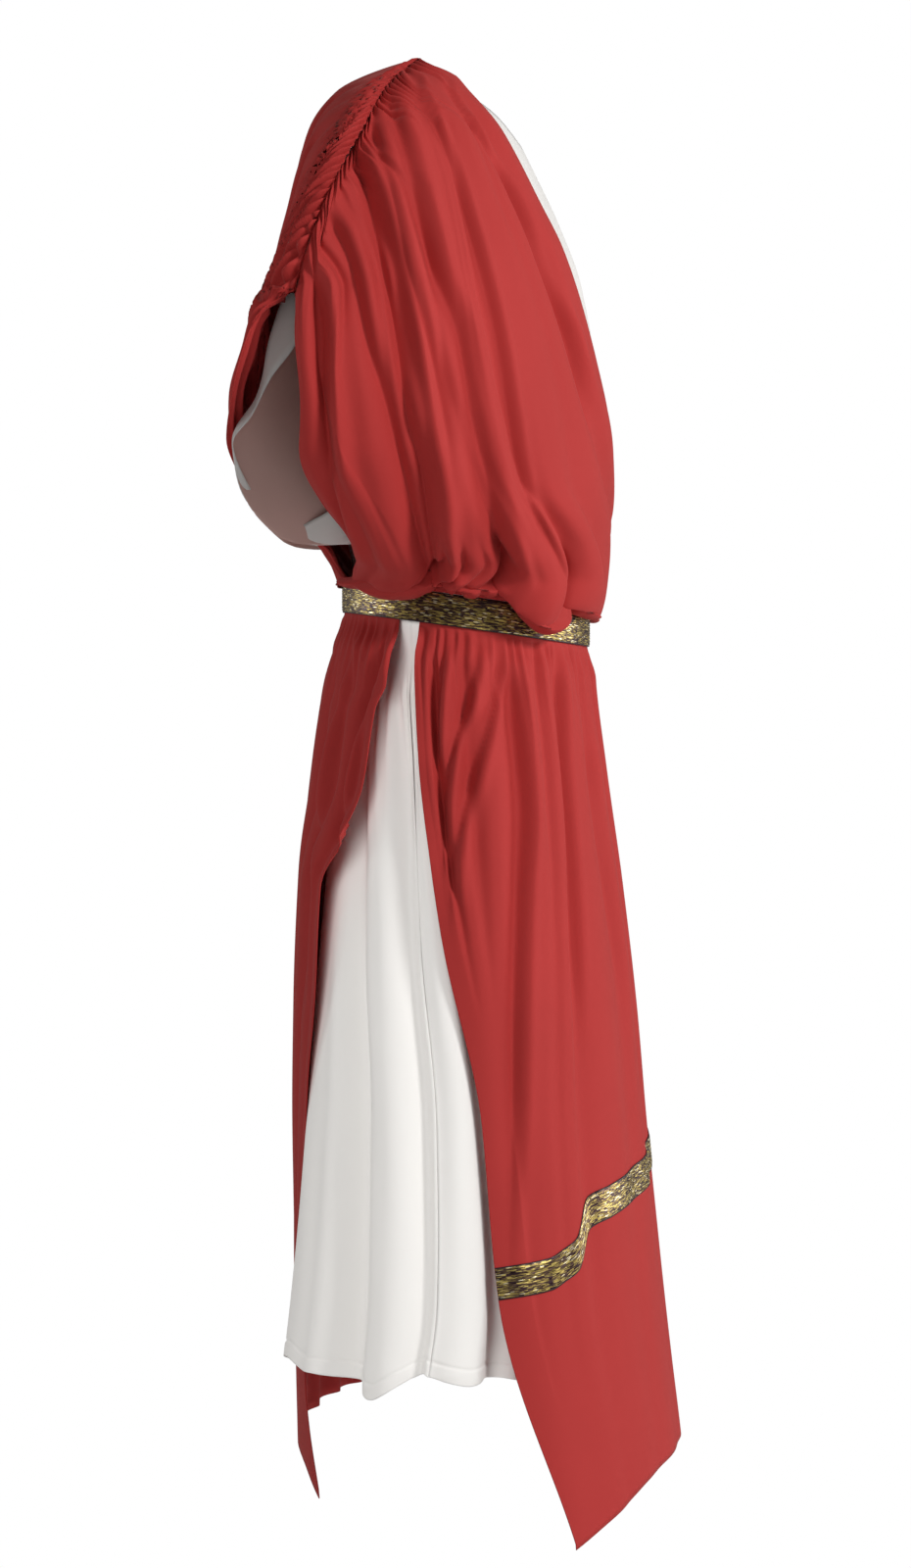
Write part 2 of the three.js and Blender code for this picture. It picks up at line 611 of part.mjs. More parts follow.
function skirtGrid(lines, rowsAt, facing, squareness) {
  const surface = (c, down) => skirtPoint(down, between(lines, c, (line) => line.angle(down)), squareness);
  const grid = [];
  for (let i = 0; i <= (lines.length - 1) * 2; i += 1) {
    const c = i / 2;
    const angleAt = (down) => between(lines, c, (line) => line.angle(down));
    grid.push(rowsAt(angleAt).map((down) => {
      const free = ease((down - beltTop(angleAt(down)) - BELT.wide) / FOLD_RELEASE);
      return raise(surface, c, down, wave(lines, c, (line) => line.depth(down)) * free, facing, 0.5);
    }));
  }
  return facing > 0 ? grid : grid.reverse();
}

// The depth at which a fold line meets an edge that is given by angle.
function meet(angleAt, edge, guess) {
  let down = guess;
  for (let pass = 0; pass < 8; pass += 1) down = mix(down, edge.down(angleAt(down)), 0.7);
  return down;
}

// The rows of a skirt that every column has: two behind the belt, then down to a given edge.
function hangingRows(angleAt, shares, edge) {
  const top = beltTop(angleAt(470)) + SKIRT_TUCK;
  const belt = beltTop(angleAt(490)) + BELT.wide;
  return [top, belt, ...shares.map((share) => mix(belt, edge, share))];
}

function frontSkirtGrid() {
  const at = Object.values(SKIRT_LEVELS);
  const lines = SKIRT_FOLDS.map((fold) => ({
    angle: curve(at, Object.keys(SKIRT_LEVELS).map((name) => fold[name])),
    depth: skirtDepth(fold),
  }));
  return skirtGrid(lines, (angleAt) => {
    const ribbon = meet(angleAt, RIBBON_TOP, 960);
    const foot = meet(angleAt, FRONT_HEM, 1180);
    const lower = ribbon + RIBBON_WIDTH;
    return [...hangingRows(angleAt, SKIRT_ROWS, ribbon), ribbon, lower, mix(lower, foot, 0.5), foot];
  }, 1, 2);
}

function backSkirtGrid() {
  const lines = BACK_SKIRT_FOLDS.map((fold) => ({
    angle: (down) => mix(BACK_SKIRT_EDGES.near(down), BACK_SKIRT_EDGES.far(down), fold.share),
    depth: skirtDepth(fold),
  }));
  const rowsAt = (angleAt) => hangingRows(angleAt, BACK_SKIRT_ROWS, meet(angleAt, BACK_HEM, 1160));
  return skirtGrid(lines, rowsAt, -1, BACK_SKIRT_SQUARENESS);
}

// The ribbon lies on the front skirt: the skirt's own points between two rows, moved out.
function ribbonWall(skirt) {
  const layer = (out) => movedOut(skirt, out).map((column) => column.slice(RIBBON_ROW, RIBBON_ROW + 2));
  return wall(layer(SEAM_GAP + RIBBON_THICK), layer(SEAM_GAP));
}

// The belt, a closed hoop whose section has four corners.
function beltRing() {
  const points = [];
  const faces = [];
  for (let i = 0; i < BELT_SEGMENTS; i += 1) {
    const angle = (360 * i) / BELT_SEGMENTS;
    const top = -beltTop(angle);
    const low = top - BELT.wide;
    points.push(onBelt(angle, 0, top), onBelt(angle, 0, low), onBelt(angle, -BELT_THICK, low), onBelt(angle, -BELT_THICK, top));
    const next = (i + 1) % BELT_SEGMENTS;
    for (let k = 0; k < 4; k += 1) {
      const m = (k + 1) % 4;
      faces.push(i * 4 + k, next * 4 + m, i * 4 + m, i * 4 + k, next * 4 + k, next * 4 + m);
    }
  }
  return meshOf(points, faces);
}

// Where a tunic line starts: on the neck curve near the middle, on the shoulder further out.
function tunicTop(share, neckDrop) {
  const reach = Math.abs(share) / NECK.share;
  if (reach >= 1) {
    const t = (Math.abs(share) - NECK.share) / (1 - NECK.share);
    return { down: mix(NECK_DOWN, SHOULDER_DOWN, t ** 1.15), angle: SHOULDER_ANGLE };
  }
  const down = mix(NECK_DOWN, neckDrop, Math.cos((reach * Math.PI) / 2) ** 0.9);
  const across = NECK.half * Math.sin((reach * Math.PI) / 2);
  return { down, angle: Math.min(SHOULDER_ANGLE, Math.asin(Math.min(1, across / TUNIC.half(down))) / DEGREE) };
}

// A tunic panel. Its lines are shares from 1 on the wearer's right seam to -1 on the left.
function tunicPanel(folds, neckDrop, reachAt, facing) {
  const lines = folds.map((fold) => {
    const top = tunicTop(fold.waist, neckDrop);
    const depth = curve([470, 510, 600, 850, TUNIC_HEM], [0, 0, fold.high, fold.middle, fold.low]);
    const lie = (down) => {
      const share = mix(fold.waist, fold.hem, ease((down - 480) / (TUNIC_HEM - 480)));
      const free = Math.abs(share) * reachAt(down);
      return Math.sign(share) * mix(top.angle, free, ease((down - top.down) / 70));
    };
    return { start: top.down, end: TUNIC_HEM + fold.drop, lie, depth };
  });
  const surface = (c, down) => {
    const furthest = down < 80 ? SHOULDER_ANGLE : 180;
    const lie = Math.max(-furthest, Math.min(furthest, between(lines, c, (line) => line.lie(down))));
    const point = around(TUNIC, down, facing > 0 ? lie : 180 - lie);
    return point.setY(point.y - (facing * SEAM_GAP) / 2);
  };
  const grid = [];
  for (let i = 0; i <= (lines.length - 1) * 2; i += 1) {
    const c = i / 2;
    const start = between(lines, c, (line) => line.start);
    const end = between(lines, c, (line) => line.end);
    const downs = [...TUNIC_UPPER.map((w) => mix(start, BELT_ZONE, w)), ...TUNIC_LOWER.map((w) => mix(BELT_ZONE, end, w))];
    const column = downs.map((down) => raise(surface, c, down, wave(lines, c, (line) => line.depth(down)), facing, 0.5));
    column[0].seam = new THREE.Vector3(0, 1, 0);
    if (c === 0 || c === lines.length - 1) {
      column.forEach((p, j) => {
        const lie = (c === 0 ? 1 : -1) * reachAt(downs[j]);
        p.seam = seamDirection(TUNIC, downs[j], facing > 0 ? lie : 180 - lie);
      });
    }
    grid.push(column);
  }
  return clothWall(facing > 0 ? grid : grid.reverse(), TUNIC_CLOTH);
}

const sideAngle = (armhole, down) => (down < UNDERARM_DOWN ? armhole(down) : SIDE_SEAM.angle(down));

const tunicFront = () => tunicPanel(TUNIC_FRONT_FOLDS, NECK.frontDrop, (down) => sideAngle(ARMHOLE.front, down), 1);

function tunicBack() {
  const folds = TUNIC_BACK_FOLDS.map((fold) => ({ ...fold, waist: 1 - 2 * fold.waist, hem: 1 - 2 * fold.hem }));
  return tunicPanel(folds, NECK.backDrop, (down) => 180 - sideAngle(ARMHOLE.back, down), -1);
}

// A sleeve from its armhole to its open rim, closed all round.
function sleeve(side) {
  const grid = [];
  for (let i = 0; i <= SLEEVE_COLUMNS; i += 1) {
    const turn = (360 * (i % SLEEVE_COLUMNS)) / SLEEVE_COLUMNS;
    const down = mix(SHOULDER_DOWN, UNDERARM_DOWN, 0.5 - 0.5 * Math.cos(turn * DEGREE));
    const angle = turn <= 180 ? ARMHOLE.front(down) : ARMHOLE.back(down);
    const root = around(TUNIC, down, angle).add(new THREE.Vector3(-SLEEVE_CLEAR, 0, 0));
    const rim = new THREE.Vector3(SLEEVE_RIM.across(turn), SLEEVE_RIM.deep(turn), -SLEEVE_RIM.down(turn));
    const outward = new THREE.Vector3(0, -Math.sin(turn * DEGREE), Math.cos(turn * DEGREE));
    grid.push(SLEEVE_RINGS.map(({ along, swell }) => root.clone().lerp(rim, along)
      .addScaledVector(outward, swell * SLEEVE_RIM.swell(turn))));
  }
  return tube(grid, TUNIC_CLOTH, side);
}

// A closed tube of cloth from a grid whose first and last columns are the same.
function tube(grid, thick, side) {
  const normals = gridNormals(grid);
  const last = grid.length - 1;
  const rows = grid[0].length;
  const inner = grid.slice(0, last).map((column, i) => column.map((p, j) => {
    const normal = i === 0 ? normals[0][j].clone().add(normals[last][j]).normalize() : normals[i][j];
    return p.clone().addScaledVector(normal, thick);
  }));
  const points = [...grid.slice(0, last).flat(), ...inner.flat()].map((p) => p.setX(p.x * side));
  const at = (layer, i, j) => (layer * last + (i % last)) * rows + j;
  const faces = [];
  const quad = (a, b, c, d) => (side > 0 ? faces.push(a, c, b, a, d, c) : faces.push(a, b, c, a, c, d));
  for (let i = 0; i < last; i += 1) {
    for (let j = 0; j < rows - 1; j += 1) {
      quad(at(0, i, j), at(0, i, j + 1), at(0, i + 1, j + 1), at(0, i + 1, j));
      quad(at(1, i, j), at(1, i + 1, j), at(1, i + 1, j + 1), at(1, i, j + 1));
    }
    quad(at(0, i + 1, 0), at(1, i + 1, 0), at(1, i, 0), at(0, i, 0));
    quad(at(0, i, rows - 1), at(1, i, rows - 1), at(1, i + 1, rows - 1), at(0, i + 1, rows - 1));
  }
  return meshOf(points, faces);
}

const RED = new THREE.MeshStandardMaterial({ color: 0xb23330, roughness: 0.75, metalness: 0 });
const WHITE = new THREE.MeshStandardMaterial({ color: 0xf2f0ec, roughness: 0.85, metalness: 0 });
const GOLD = new THREE.MeshStandardMaterial({ color: 0xa58a2e, roughness: 0.45, metalness: 0.6 });

const part = new THREE.Group();
function add(name, geometry, material) {
  const mesh = new THREE.Mesh(geometry, material);
  mesh.name = name;
  part.add(mesh);
}

const frontSkirt = frontSkirtGrid();
add('tunic_front', tunicFront(), WHITE);
add('tunic_back', tunicBack(), WHITE);
add('tunic_sleeve_right', sleeve(1), WHITE);
add('tunic_sleeve_left', sleeve(-1), WHITE);
add('toga_front_bodice', togaFrontBodice(), RED);
add('toga_back_bodice', togaBackBodice(), RED);
add('toga_front_skirt', clothWall(frontSkirt, TOGA_CLOTH), RED);
add('toga_back_skirt', clothWall(backSkirtGrid(), TOGA_CLOTH), RED);
add('belt', beltRing(), GOLD);
add('hem_trim', ribbonWall(frontSkirt), GOLD);

export default part;
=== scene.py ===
"""Roman toga costume, dressed: fine cloth shells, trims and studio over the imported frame.

Measures are in millimetres until a mesh is made. Heights are given as "down", the distance
below the shoulder top. Angles run round the body: 0 front, 90 the wearer's right, 180 back.
"""

import math

import bpy
import numpy as np
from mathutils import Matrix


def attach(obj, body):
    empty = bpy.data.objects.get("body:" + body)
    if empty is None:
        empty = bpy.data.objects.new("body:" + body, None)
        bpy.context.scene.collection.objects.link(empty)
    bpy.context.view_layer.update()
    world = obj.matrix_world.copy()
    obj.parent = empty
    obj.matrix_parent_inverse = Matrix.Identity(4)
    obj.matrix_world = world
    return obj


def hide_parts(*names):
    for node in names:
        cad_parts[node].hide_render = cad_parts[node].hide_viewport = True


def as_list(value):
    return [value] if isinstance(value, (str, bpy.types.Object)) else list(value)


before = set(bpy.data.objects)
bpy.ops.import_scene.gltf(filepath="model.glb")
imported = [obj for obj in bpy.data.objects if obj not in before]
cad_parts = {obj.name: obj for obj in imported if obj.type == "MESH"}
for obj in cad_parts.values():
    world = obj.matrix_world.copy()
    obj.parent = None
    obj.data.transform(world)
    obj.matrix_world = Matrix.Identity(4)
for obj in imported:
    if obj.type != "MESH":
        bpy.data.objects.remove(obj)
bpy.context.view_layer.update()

MM = 0.001
DEGREE = math.pi / 180
CLOTH = 0.9
SEAM_GAP = 0.35
BELT = {"half": 150, "middle": -12, "front": -118, "back": 92, "top_back": 442, "top_front": 471, "wide": 27}
BELT_THICK = 1.6
UNDER_BELT = 0.5
RIBBON_WIDTH = 27
RIBBON_STAND = 1.2
NECK = {"half": 75, "front_drop": 75, "back_drop": 22, "share": 0.42}
NECK_DOWN = 5
SHOULDER_DOWN = 48
UNDERARM_DOWN = 410
SHOULDER_ANGLE = 89.6
SLEEVE_CLEAR = 1.6
SEAM_FOOT = 203
BACK_FOOT = {"near": 154, "far": 271}
TOGA_SQUARENESS = 2.4
TUNIC_HEM = 1110
TUNIC_HEM_STITCH = 13
SEAM_RUN = 10
FOOT_RUN = 4
BACK_SWING = {"top": 18, "low": 110, "start": 130}


def table(columns, rows):
    """A list of dicts, one for each row, with the named columns."""
    names = columns.split()
    return [dict(zip(names, row)) for row in rows]


def curve(at, values):
    """A smooth curve through points that stays between neighbouring values."""
    x = np.array(at, float)
    v = np.array(values, float)
    slope = np.diff(v) / np.diff(x)
    tangent = np.zeros(len(v))
    tangent[0] = slope[0]
    tangent[-1] = slope[-1]
    before = slope[:-1]
    after = slope[1:]
    same = before * after > 0
    tangent[1:-1][same] = 2 * before[same] * after[same] / (before[same] + after[same])

    def read(where):
        q = np.clip(np.asarray(where, float), x[0], x[-1])
        i = np.clip(np.searchsorted(x, q, side="right") - 1, 0, len(x) - 2)
        width = x[i + 1] - x[i]
        t = (q - x[i]) / width
        s = 1 - t
        start = s * s * (1 + 2 * t) * v[i] + t * s * s * width * tangent[i]
        return start + t * t * (3 - 2 * t) * v[i + 1] - t * t * s * width * tangent[i + 1]

    return read


class Profile:
    """One smooth curve for each column of a table, read at any value of its key."""

    def __init__(self, rows, key="down"):
        at = [row[key] for row in rows]
        for name in rows[0]:
            if name != key:
                setattr(self, name, curve(at, [row[name] for row in rows]))


def mix(a, b, t):
    return a + (b - a) * t


def ease(t):
    t = np.clip(t, 0, 1)
    return t * t * (3 - 2 * t)


# Sections of the red drape: width on the sleeve side and on the plain side, with the depth
# at which each is widest, and how far the cloth reaches to the front and to the back.
TOGA = Profile(table("down half middle front back left core", [
    (0, 78, 25, 16, 36, 78, 25),
    (12, 122, 38, -15, 66, 110, 27),
    (31, 168, 53, -31, 99, 150, 30),
    (61, 208, 68, -55, 118, 176, 32),
    (90, 230, 82, -71, 127, 188, 32),
    (126, 247, 96, -88, 133, 192, 30),
    (163, 260, 108, -105, 140, 193, 28),
    (203, 269, 113, -116, 150, 193, 25),
    (260, 273, 110, -125, 165, 192, 20),
    (330, 265, 92, -134, 170, 190, 15),
    (380, 244, 62, -135, 150, 185, 8),
    (420, 212, 30, -131, 120, 177, 0),
    (445, 186, 8, -129, 106, 170, -6),
    (490, 170, -8, -128, 104, 166, -9),
]))
# Back of the drape: where its near edge lies, the middle of the back, the swell between
# them over the shoulder blade and sleeve, and the plain side's width and depth.
BACK_EDGE = Profile(table("down across deep spine swell left core", [
    (203, -249, 133, 130, 24, 193, 25),
    (220, -249, 158, 130, 20, 193, 24),
    (246, -246, 172, 130, 15, 192, 22),
    (288, -229, 183, 128, 24, 191, 18),
    (325, -202, 188, 125, 18, 190, 15),
    (350, -182, 180, 121, 10, 187, 10),
    (380, -164, 150, 115, 3, 183, 6),
    (405, -143, 119, 107, 3, 178, 2),
    (417, -128, 103, 101, 3, 174, -2),
    (430, -104, 95, 96, 2, 170, -5),
    (442, -78, 88, 95, 2, 160, -11),
]))
BACK_SPINE = Profile(table("down spine swell", [
    (0, 36, 0),
    (12, 64, 2),
    (31, 96, 4),
    (61, 113, 8),
    (90, 118, 11),
    (126, 123, 12),
    (163, 128, 15),
    (203, 130, 24),
]))
# The shoulder seam of the drape, as an angle round its sections.
SEAM = Profile(table("down angle", [
    (0, 89), (12, 92), (31, 95), (61, 95), (90, 98), (126, 105), (163, 111), (203, 118),
]))
# Fold lines of the front drape, from its free edge at the sleeve to its neck edge. start is
# where the line leaves the seam, a20 to a430 its angle at each depth, foot its angle on the
# belt. high, middle and low give how far it stands out or in, and hang how far it drops
# below the belt's top edge.
FRONT_FOLDS = table("start a20 a60 a120 a200 a280 a360 a430 foot high middle low hang", [
    (203, 96, 96, 104, 117, 109, 121, 134, 151, 0, 2, -9, 0),
    (176, 96, 96, 104, 105, 101, 113, 126, 143, 3, 3, -2, 0),
    (150, 96, 96, 104, 90, 91, 103, 117, 134, -5, -5, -4, 1),
    (135, 96, 96, 100, 86, 88, 95, 109, 124, 2, 2, 1, 5),
    (121, 96, 96, 96, 84, 85.5, 90, 102, 116, -6, -3, 0, 5),
    (109, 96, 96, 98.5, 80.5, 80.5, 83.5, 95, 110, 3, 2, 1, 2),
    (98, 96, 96, 89, 76.5, 76, 78, 89, 106, -3, -1, -1, -1),
    (88, 96, 96, 84, 74, 73, 75.5, 86, 102.5, 3, 1, -1, -2),
    (77, 95, 95, 79, 71.5, 70, 73, 83, 99, -5, -3, -1, -1),
    (67, 95, 95, 75, 68, 66.5, 68, 74, 88, 3, 2, 1, -4),
    (58, 95, 95, 71, 64, 63, 62, 62, 73, -4, -2, -3, -6),
    (49, 95, 90, 66, 60.5, 59, 58, 55, 65, 3, 1, 3, 8),
    (41, 95, 72, 61, 57.5, 56, 54.5, 49, 57, 0, 1, 4, 17),
    (34, 95, 65, 57.5, 55.5, 53, 51.5, 43, 49, 2, 1, 3, 14),
    (28, 94, 58, 54, 52, 50, 48, 36, 39, -2, -1, -4, 0),
    (22.5, 93, 51, 48, 45, 42, 40, 24, 21, 2, 1, 3, 1),
    (17.5, 92, 46, 42, 37, 32, 30, 10, 0, -1, -1, -1, 3),
    (13, 92, 43, 38, 33, 27, 20, -6, -18, 0, 0, 2, 4),
    (8.5, 62, 39, 34, 28, 20, 8, -22, -40, -4, -6, -5, 1),
    (4, 50, 33, 28, 23, 13, -4, -33, -64, 3, 4, 3, 2),
    (0, 40, 27, 21.5, 16.6, 6.5, -13, -42, -86, 1, 2, 2, 0),
])
FRONT_LEVELS = {f"a{down}": down for down in (20, 60, 120, 200, 280, 360, 430)}
# Fold lines of the back drape. share is the part of the way from the free edge to the neck
# edge that the line has reached once it has swung out of the seam.
BACK_FOLDS = table("start share high middle low hang", [
    (203, 0.00, 0, 0, 0, 1),
    (176, 0.05, 2, 1, 1, 2),
    (150, 0.10, -2, -1, 0, 1),
    (135, 0.16, 4, 5, 3, 3),
    (121, 0.21, -6, -6, -3, 1),
    (109, 0.26, 3, 2, 1, 4),
    (98, 0.31, -3, -1, -1, 0),
    (88, 0.36, 5, 6, 4, 4),
    (77, 0.41, -7, -7, -3, 2),
    (67, 0.46, 4, 2, 1, 5),
    (58, 0.51, -3, -2, 0, -1),
    (49, 0.56, 3, 3, 2, 3),
    (41, 0.61, -6, -7, -3, 1),
    (34, 0.66, 5, 5, 3, 4),
    (28, 0.71, -2, -2, -1, 0),
    (22.5, 0.76, 2, 2, 1, 3),
    (17.5, 0.81, -6, -5, -2, 1),
    (13, 0.86, 4, 3, 3, 4),
    (8.5, 0.91, -3, -2, -1, 0),
    (4, 0.96, 4, 3, 2, 2),
    (0, 1.00, 0, 0, 0, 1),
])
# The back neck edge, as turns past the free edge: 1 is the spine and 2 the plain side.
BACK_NECK = Profile(table("down turn", [
    (0, 0.1), (8, 0.5), (20, 0.7), (60, 0.8), (120, 0.86), (200, 0.92), (280, 1.08), (360, 1.31),
    (430, 1.62), (445, 1.97),
]))
# Sections of the red skirt panels below the belt.
SKIRT = Profile(table("down half middle front back", [
    (470, 150, -12, -118, 92),
    (530, 165, -8, -121, 105),
    (600, 182, -7, -129, 115),
    (700, 200, -9, -143, 126),
    (800, 212, -12, -155, 130),
    (900, 222, -16, -164, 131),
    (1000, 232, -21, -175, 131),
    (1100, 240, -28, -187, 130),
    (1166, 245, -32, -195, 129),
    (1255, 250, -38, -203, 126),
]))
# Fold lines of the front skirt, from its right edge round to its left edge.
SKIRT_FOLDS = table("belt a600 a750 a900 a1050 hem high middle low", [
    (112, 106, 97, 86, 84, 66, 1, 0, 0),
    (109.5, 103.5, 94, 83.5, 81.5, 64, 1, 0, 0),
    (107, 101.3, 91.5, 81.5, 79.5, 62.4, 2, 0, 0),
    (104, 99, 89, 79.8, 77.8, 61, -7, 0, 0),
    (98, 93, 85.5, 78.6, 76.7, 59.8, 2, 0, 0),
    (92, 86, 81.5, 77.4, 75.6, 58.6, -3, 0, 0),
    (84, 77, 76.8, 76, 74.2, 57.4, 3, 0, 0),
    (73, 65.5, 70.5, 73.5, 72, 56, -4, -2, 0),
    (64, 58.5, 62, 66, 66, 53.5, 3, 2, 0),
    (57, 53, 56, 60, 61, 50.8, -2, 0, 0),
    (51.5, 47.5, 51.5, 55.5, 56.5, 48, 3, 2, 0),
    (45, 43, 47, 49.5, 50.5, 44, -4, -4, -0.5),
    (37, 34, 36, 38, 41, 37.5, 3, 2, 0.5),
    (28, 24, 22, 24, 30, 29, -3, -2, -0.5),
    (20, 17, 14, 14, 19, 19.5, 3, 2, 0.5),
    (12, 9, 5, 4, 8, 9.5, -3, -2, -0.5),
    (4, 1, -4, -6, -4, -1.5, 3, 3, 0.5),
    (-5, -8, -12, -17, -15, -13, -4, -4, -1),
    (-14, -17, -21, -27, -26, -24, 4, 5, 2),
    (-24, -26, -30, -36, -36, -34, -5, -6, -2),
    (-35, -36, -39, -44, -45, -42.5, 4, 5, 3),
    (-46, -46, -48, -52, -53, -50, -5, -7, -6),
    (-58, -57, -57, -60, -60, -56.5, 4, 6, 5),
    (-70, -68, -66, -67, -66, -62, -5, -7, -5),
    (-83, -80, -76, -74, -71, -66, 3, 4, 3),
    (-94, -90, -84, -79, -75.5, -69.3, -3, -2, -1),
    (-104, -99, -91, -84, -80, -72, 2, 2, 1),
])
SKIRT_LEVELS = {"belt": 480, "a600": 600, "a750": 750, "a900": 900, "a1050": 1050, "hem": 1250}
FRONT_HEM = Profile(table("angle down", [
    (-72, 1080), (-50, 1115), (-24, 1144), (0, 1163), (20, 1179), (36, 1199), (51, 1227), (66, 1255),
]), "angle")
RIBBON_TOP = Profile(table("angle down", [
    (-82, 838), (-50, 862), (-10, 902), (5, 920), (17, 930), (41, 951), (49, 959), (53, 974), (57, 995),
    (62, 1004), (67, 1011), (87, 1020),
]), "angle")
# The back skirt's two edges, and its fold lines as shares of the way between them.
BACK_SKIRT_EDGES = Profile(table("down near far", [
    (480, 123, 249),
    (531, 122.5, 246),
    (550, 126.5, 245),
    (614, 129.5, 242),
    (672, 142, 239),
    (700, 149, 237),
    (780, 151, 235),
    (870, 157, 232),
    (955, 161, 231),
    (1110, 163, 230),
    (1210, 154, 230),
]))
SKIRT_SQUARENESS = 2.0
BACK_SKIRT_SQUARENESS = 2.4
BACK_SKIRT_FOLDS = table("share high middle low", [
    (0, 3, 2, 0),
    (0.05, -2, 0, 0),
    (0.11, 4, 2, 0),
    (0.18, -5, -3, 0),
    (0.25, 5, 3, 0),
    (0.32, -5, -4, 0),
    (0.39, 4, 4, 2),
    (0.46, -5, -5, -2),
    (0.54, 5, 5, 3),
    (0.62, -5, -5, -3),
    (0.70, 4, 5, 4),
    (0.79, -5, -5, -4),
    (0.88, 4, 5, 4),
    (0.95, -3, -4, -3),
    (1, 2, 2, 2),
])
BACK_HEM = Profile(table("angle down", [
    (152, 1220), (165, 1188), (180, 1166), (200, 1148), (215, 1134), (230, 1124),
]), "angle")
# Sections of the white tunic, the same on both sides.
TUNIC = Profile(table("down half middle front back", [
    (5, 76, 25, 14, 33),
    (16, 104, 27, -10, 50),
    (34, 142, 30, -30, 74),
    (48, 164, 31, -43, 85),
    (75, 174, 32, -60, 97),
    (95, 177, 31, -70, 102),
    (149, 178, 28, -95, 108),
    (194, 180, 25, -111, 112),
    (261, 181, 20, -121, 113),
    (330, 177, 13, -122, 108),
    (400, 159, 0, -117, 90),
    (425, 148, -9, -114, 84),
    (440, 145, -12, -113, 83),
    (500, 145, -12, -113, 83),
    (540, 154, -9, -111, 93),
    (600, 165, -6, -112, 101),
    (700, 184, -4, -113, 107),
    (800, 200, -2, -114, 112),
    (900, 213, 0, -115, 114),
    (1000, 225, 2, -116, 116),
    (1110, 238, 5, -117, 118),
]))
# Where the front and back panels end at the sides: round the armholes, then down one side seam.
ARMHOLE = Profile(table("down front back", [
    (48, 89.6, 90.4),
    (80, 75, 106),
    (120, 69, 112),
    (220, 65, 116),
    (330, 76, 106),
    (410, 95, 95),
]))
SIDE_SEAM = Profile(table("down angle", [
    (410, 95), (480, 118), (600, 110.5), (750, 104.5), (900, 96), (1050, 94), (1110, 97),
]))
# Fold lines of the tunic panels as shares of the way between the side seams.
TUNIC_FRONT_FOLDS = table("waist hem high middle low drop", [
    (1, 1, -1, -1, -1, 0),
    (0.97, 0.84, 3, 6, 7, 8),
    (0.92, 0.73, -4, -8, -8, 0),
    (0.80, 0.60, 3, 5, 6, 4),
    (0.60, 0.42, -3, -6, -7, -2),
    (0.42, 0.26, 3, 5, 6, 3),
    (0.20, 0.12, -2, -3, -4, 0),
    (0, 0, 2, 3, 4, 3),
    (-0.20, -0.12, -2, -3, -4, 0),
    (-0.42, -0.28, 3, 5, 6, 4),
    (-0.60, -0.45, -3, -6, -7, -2),
    (-0.80, -0.62, 3, 5, 6, 5),
    (-0.92, -0.76, -3, -6, -7, 0),
    (-0.97, -0.87, 3, 5, 6, 6),
    (-1, -1, -1, -1, -1, 0),
])
TUNIC_BACK_FOLDS = table("waist hem high middle low drop", [
    (0, 0, -1, -1, -1, 0),
    (0.03, 0.035, -5, -7, -8, -2),
    (0.12, 0.13, 5, 8, 9, 20),
    (0.20, 0.20, -4, -7, -4, 4),
    (0.27, 0.27, 3, 15, 32, -2),
    (0.33, 0.33, 3, 17, 37, -14),
    (0.40, 0.39, -4, -4, -10, -4),
    (0.50, 0.50, -1, -2, -5, 0),
    (0.61, 0.60, -4, -6, -8, -2),
    (0.70, 0.69, 3, 3, 2, 6),
    (0.80, 0.80, -5, -8, -9, 0),
    (0.90, 0.89, 3, 4, 5, 8),
    (0.97, 0.965, -4, -6, -6, 0),
    (1, 1, -1, -1, -1, 0),
])
# The sleeve's rim in the order of its turn, from the top over the front. swell lifts the cloth
# between armhole and rim.
SLEEVE_RIM = Profile(table("turn across deep down swell", [
    (0, -246, 112, 214, 14),
    (30, -244, 80, 220, 6),
    (60, -236, 54, 244, 0),
    (90, -226, 42, 292, 0),
    (120, -212, 48, 340, 3),
    (150, -198, 76, 368, 2),
    (180, -181, 112, 391, 7),
    (205, -177, 140, 402, 16),
    (232, -192, 168, 366, 30),
    (260, -212, 183, 330, 18),
    (290, -226, 167, 306, 10),
    (320, -234, 150, 274, 24),
    (345, -240, 133, 252, 34),
    (360, -246, 112, 214, 14),
]), "turn")


def around(section, down, angle, squareness=2.0):
    """Points on a section, at depths and angles round the body."""
    down, angle = np.broadcast_arrays(np.asarray(down, float), np.asarray(angle, float))
    sine = np.sin(angle * DEGREE)
    cosine = np.cos(angle * DEGREE)
    half = section.half(down)
    middle = section.middle(down)
    if hasattr(section, "left"):
        plain = sine < 0
        half = np.where(plain, section.left(down), half)
        middle = np.where(plain, section.core(down), middle)
    reach = np.where(cosine > 0, middle - section.front(down), section.back(down) - middle)
    across = np.sign(sine) * (1 - np.abs(cosine) ** squareness) ** (1 / squareness)
    return np.stack([-half * across, middle - reach * cosine, -down], axis=-1)


def on_belt(angle, out, height):
    """A point on the belt's outer face, or out from it, at a height."""
    angle, out, height = np.broadcast_arrays(*(np.asarray(v, float) for v in (angle, out, height)))
    cosine = np.cos(angle * DEGREE)
    reach = np.where(cosine > 0, BELT["middle"] - BELT["front"], BELT["back"] - BELT["middle"]) + out
    x = -(BELT["half"] + out) * np.sin(angle * DEGREE)
    return np.stack([x, BELT["middle"] - reach * cosine, height], axis=-1)


def belt_top(angle):
    """How far below the shoulder the belt's top edge lies, which dips towards the front."""
    deep = on_belt(angle, 0, 0)[..., 1]
    share = (BELT["back"] - deep) / (BELT["back"] - BELT["front"])
    return mix(BELT["top_back"], BELT["top_front"], share)


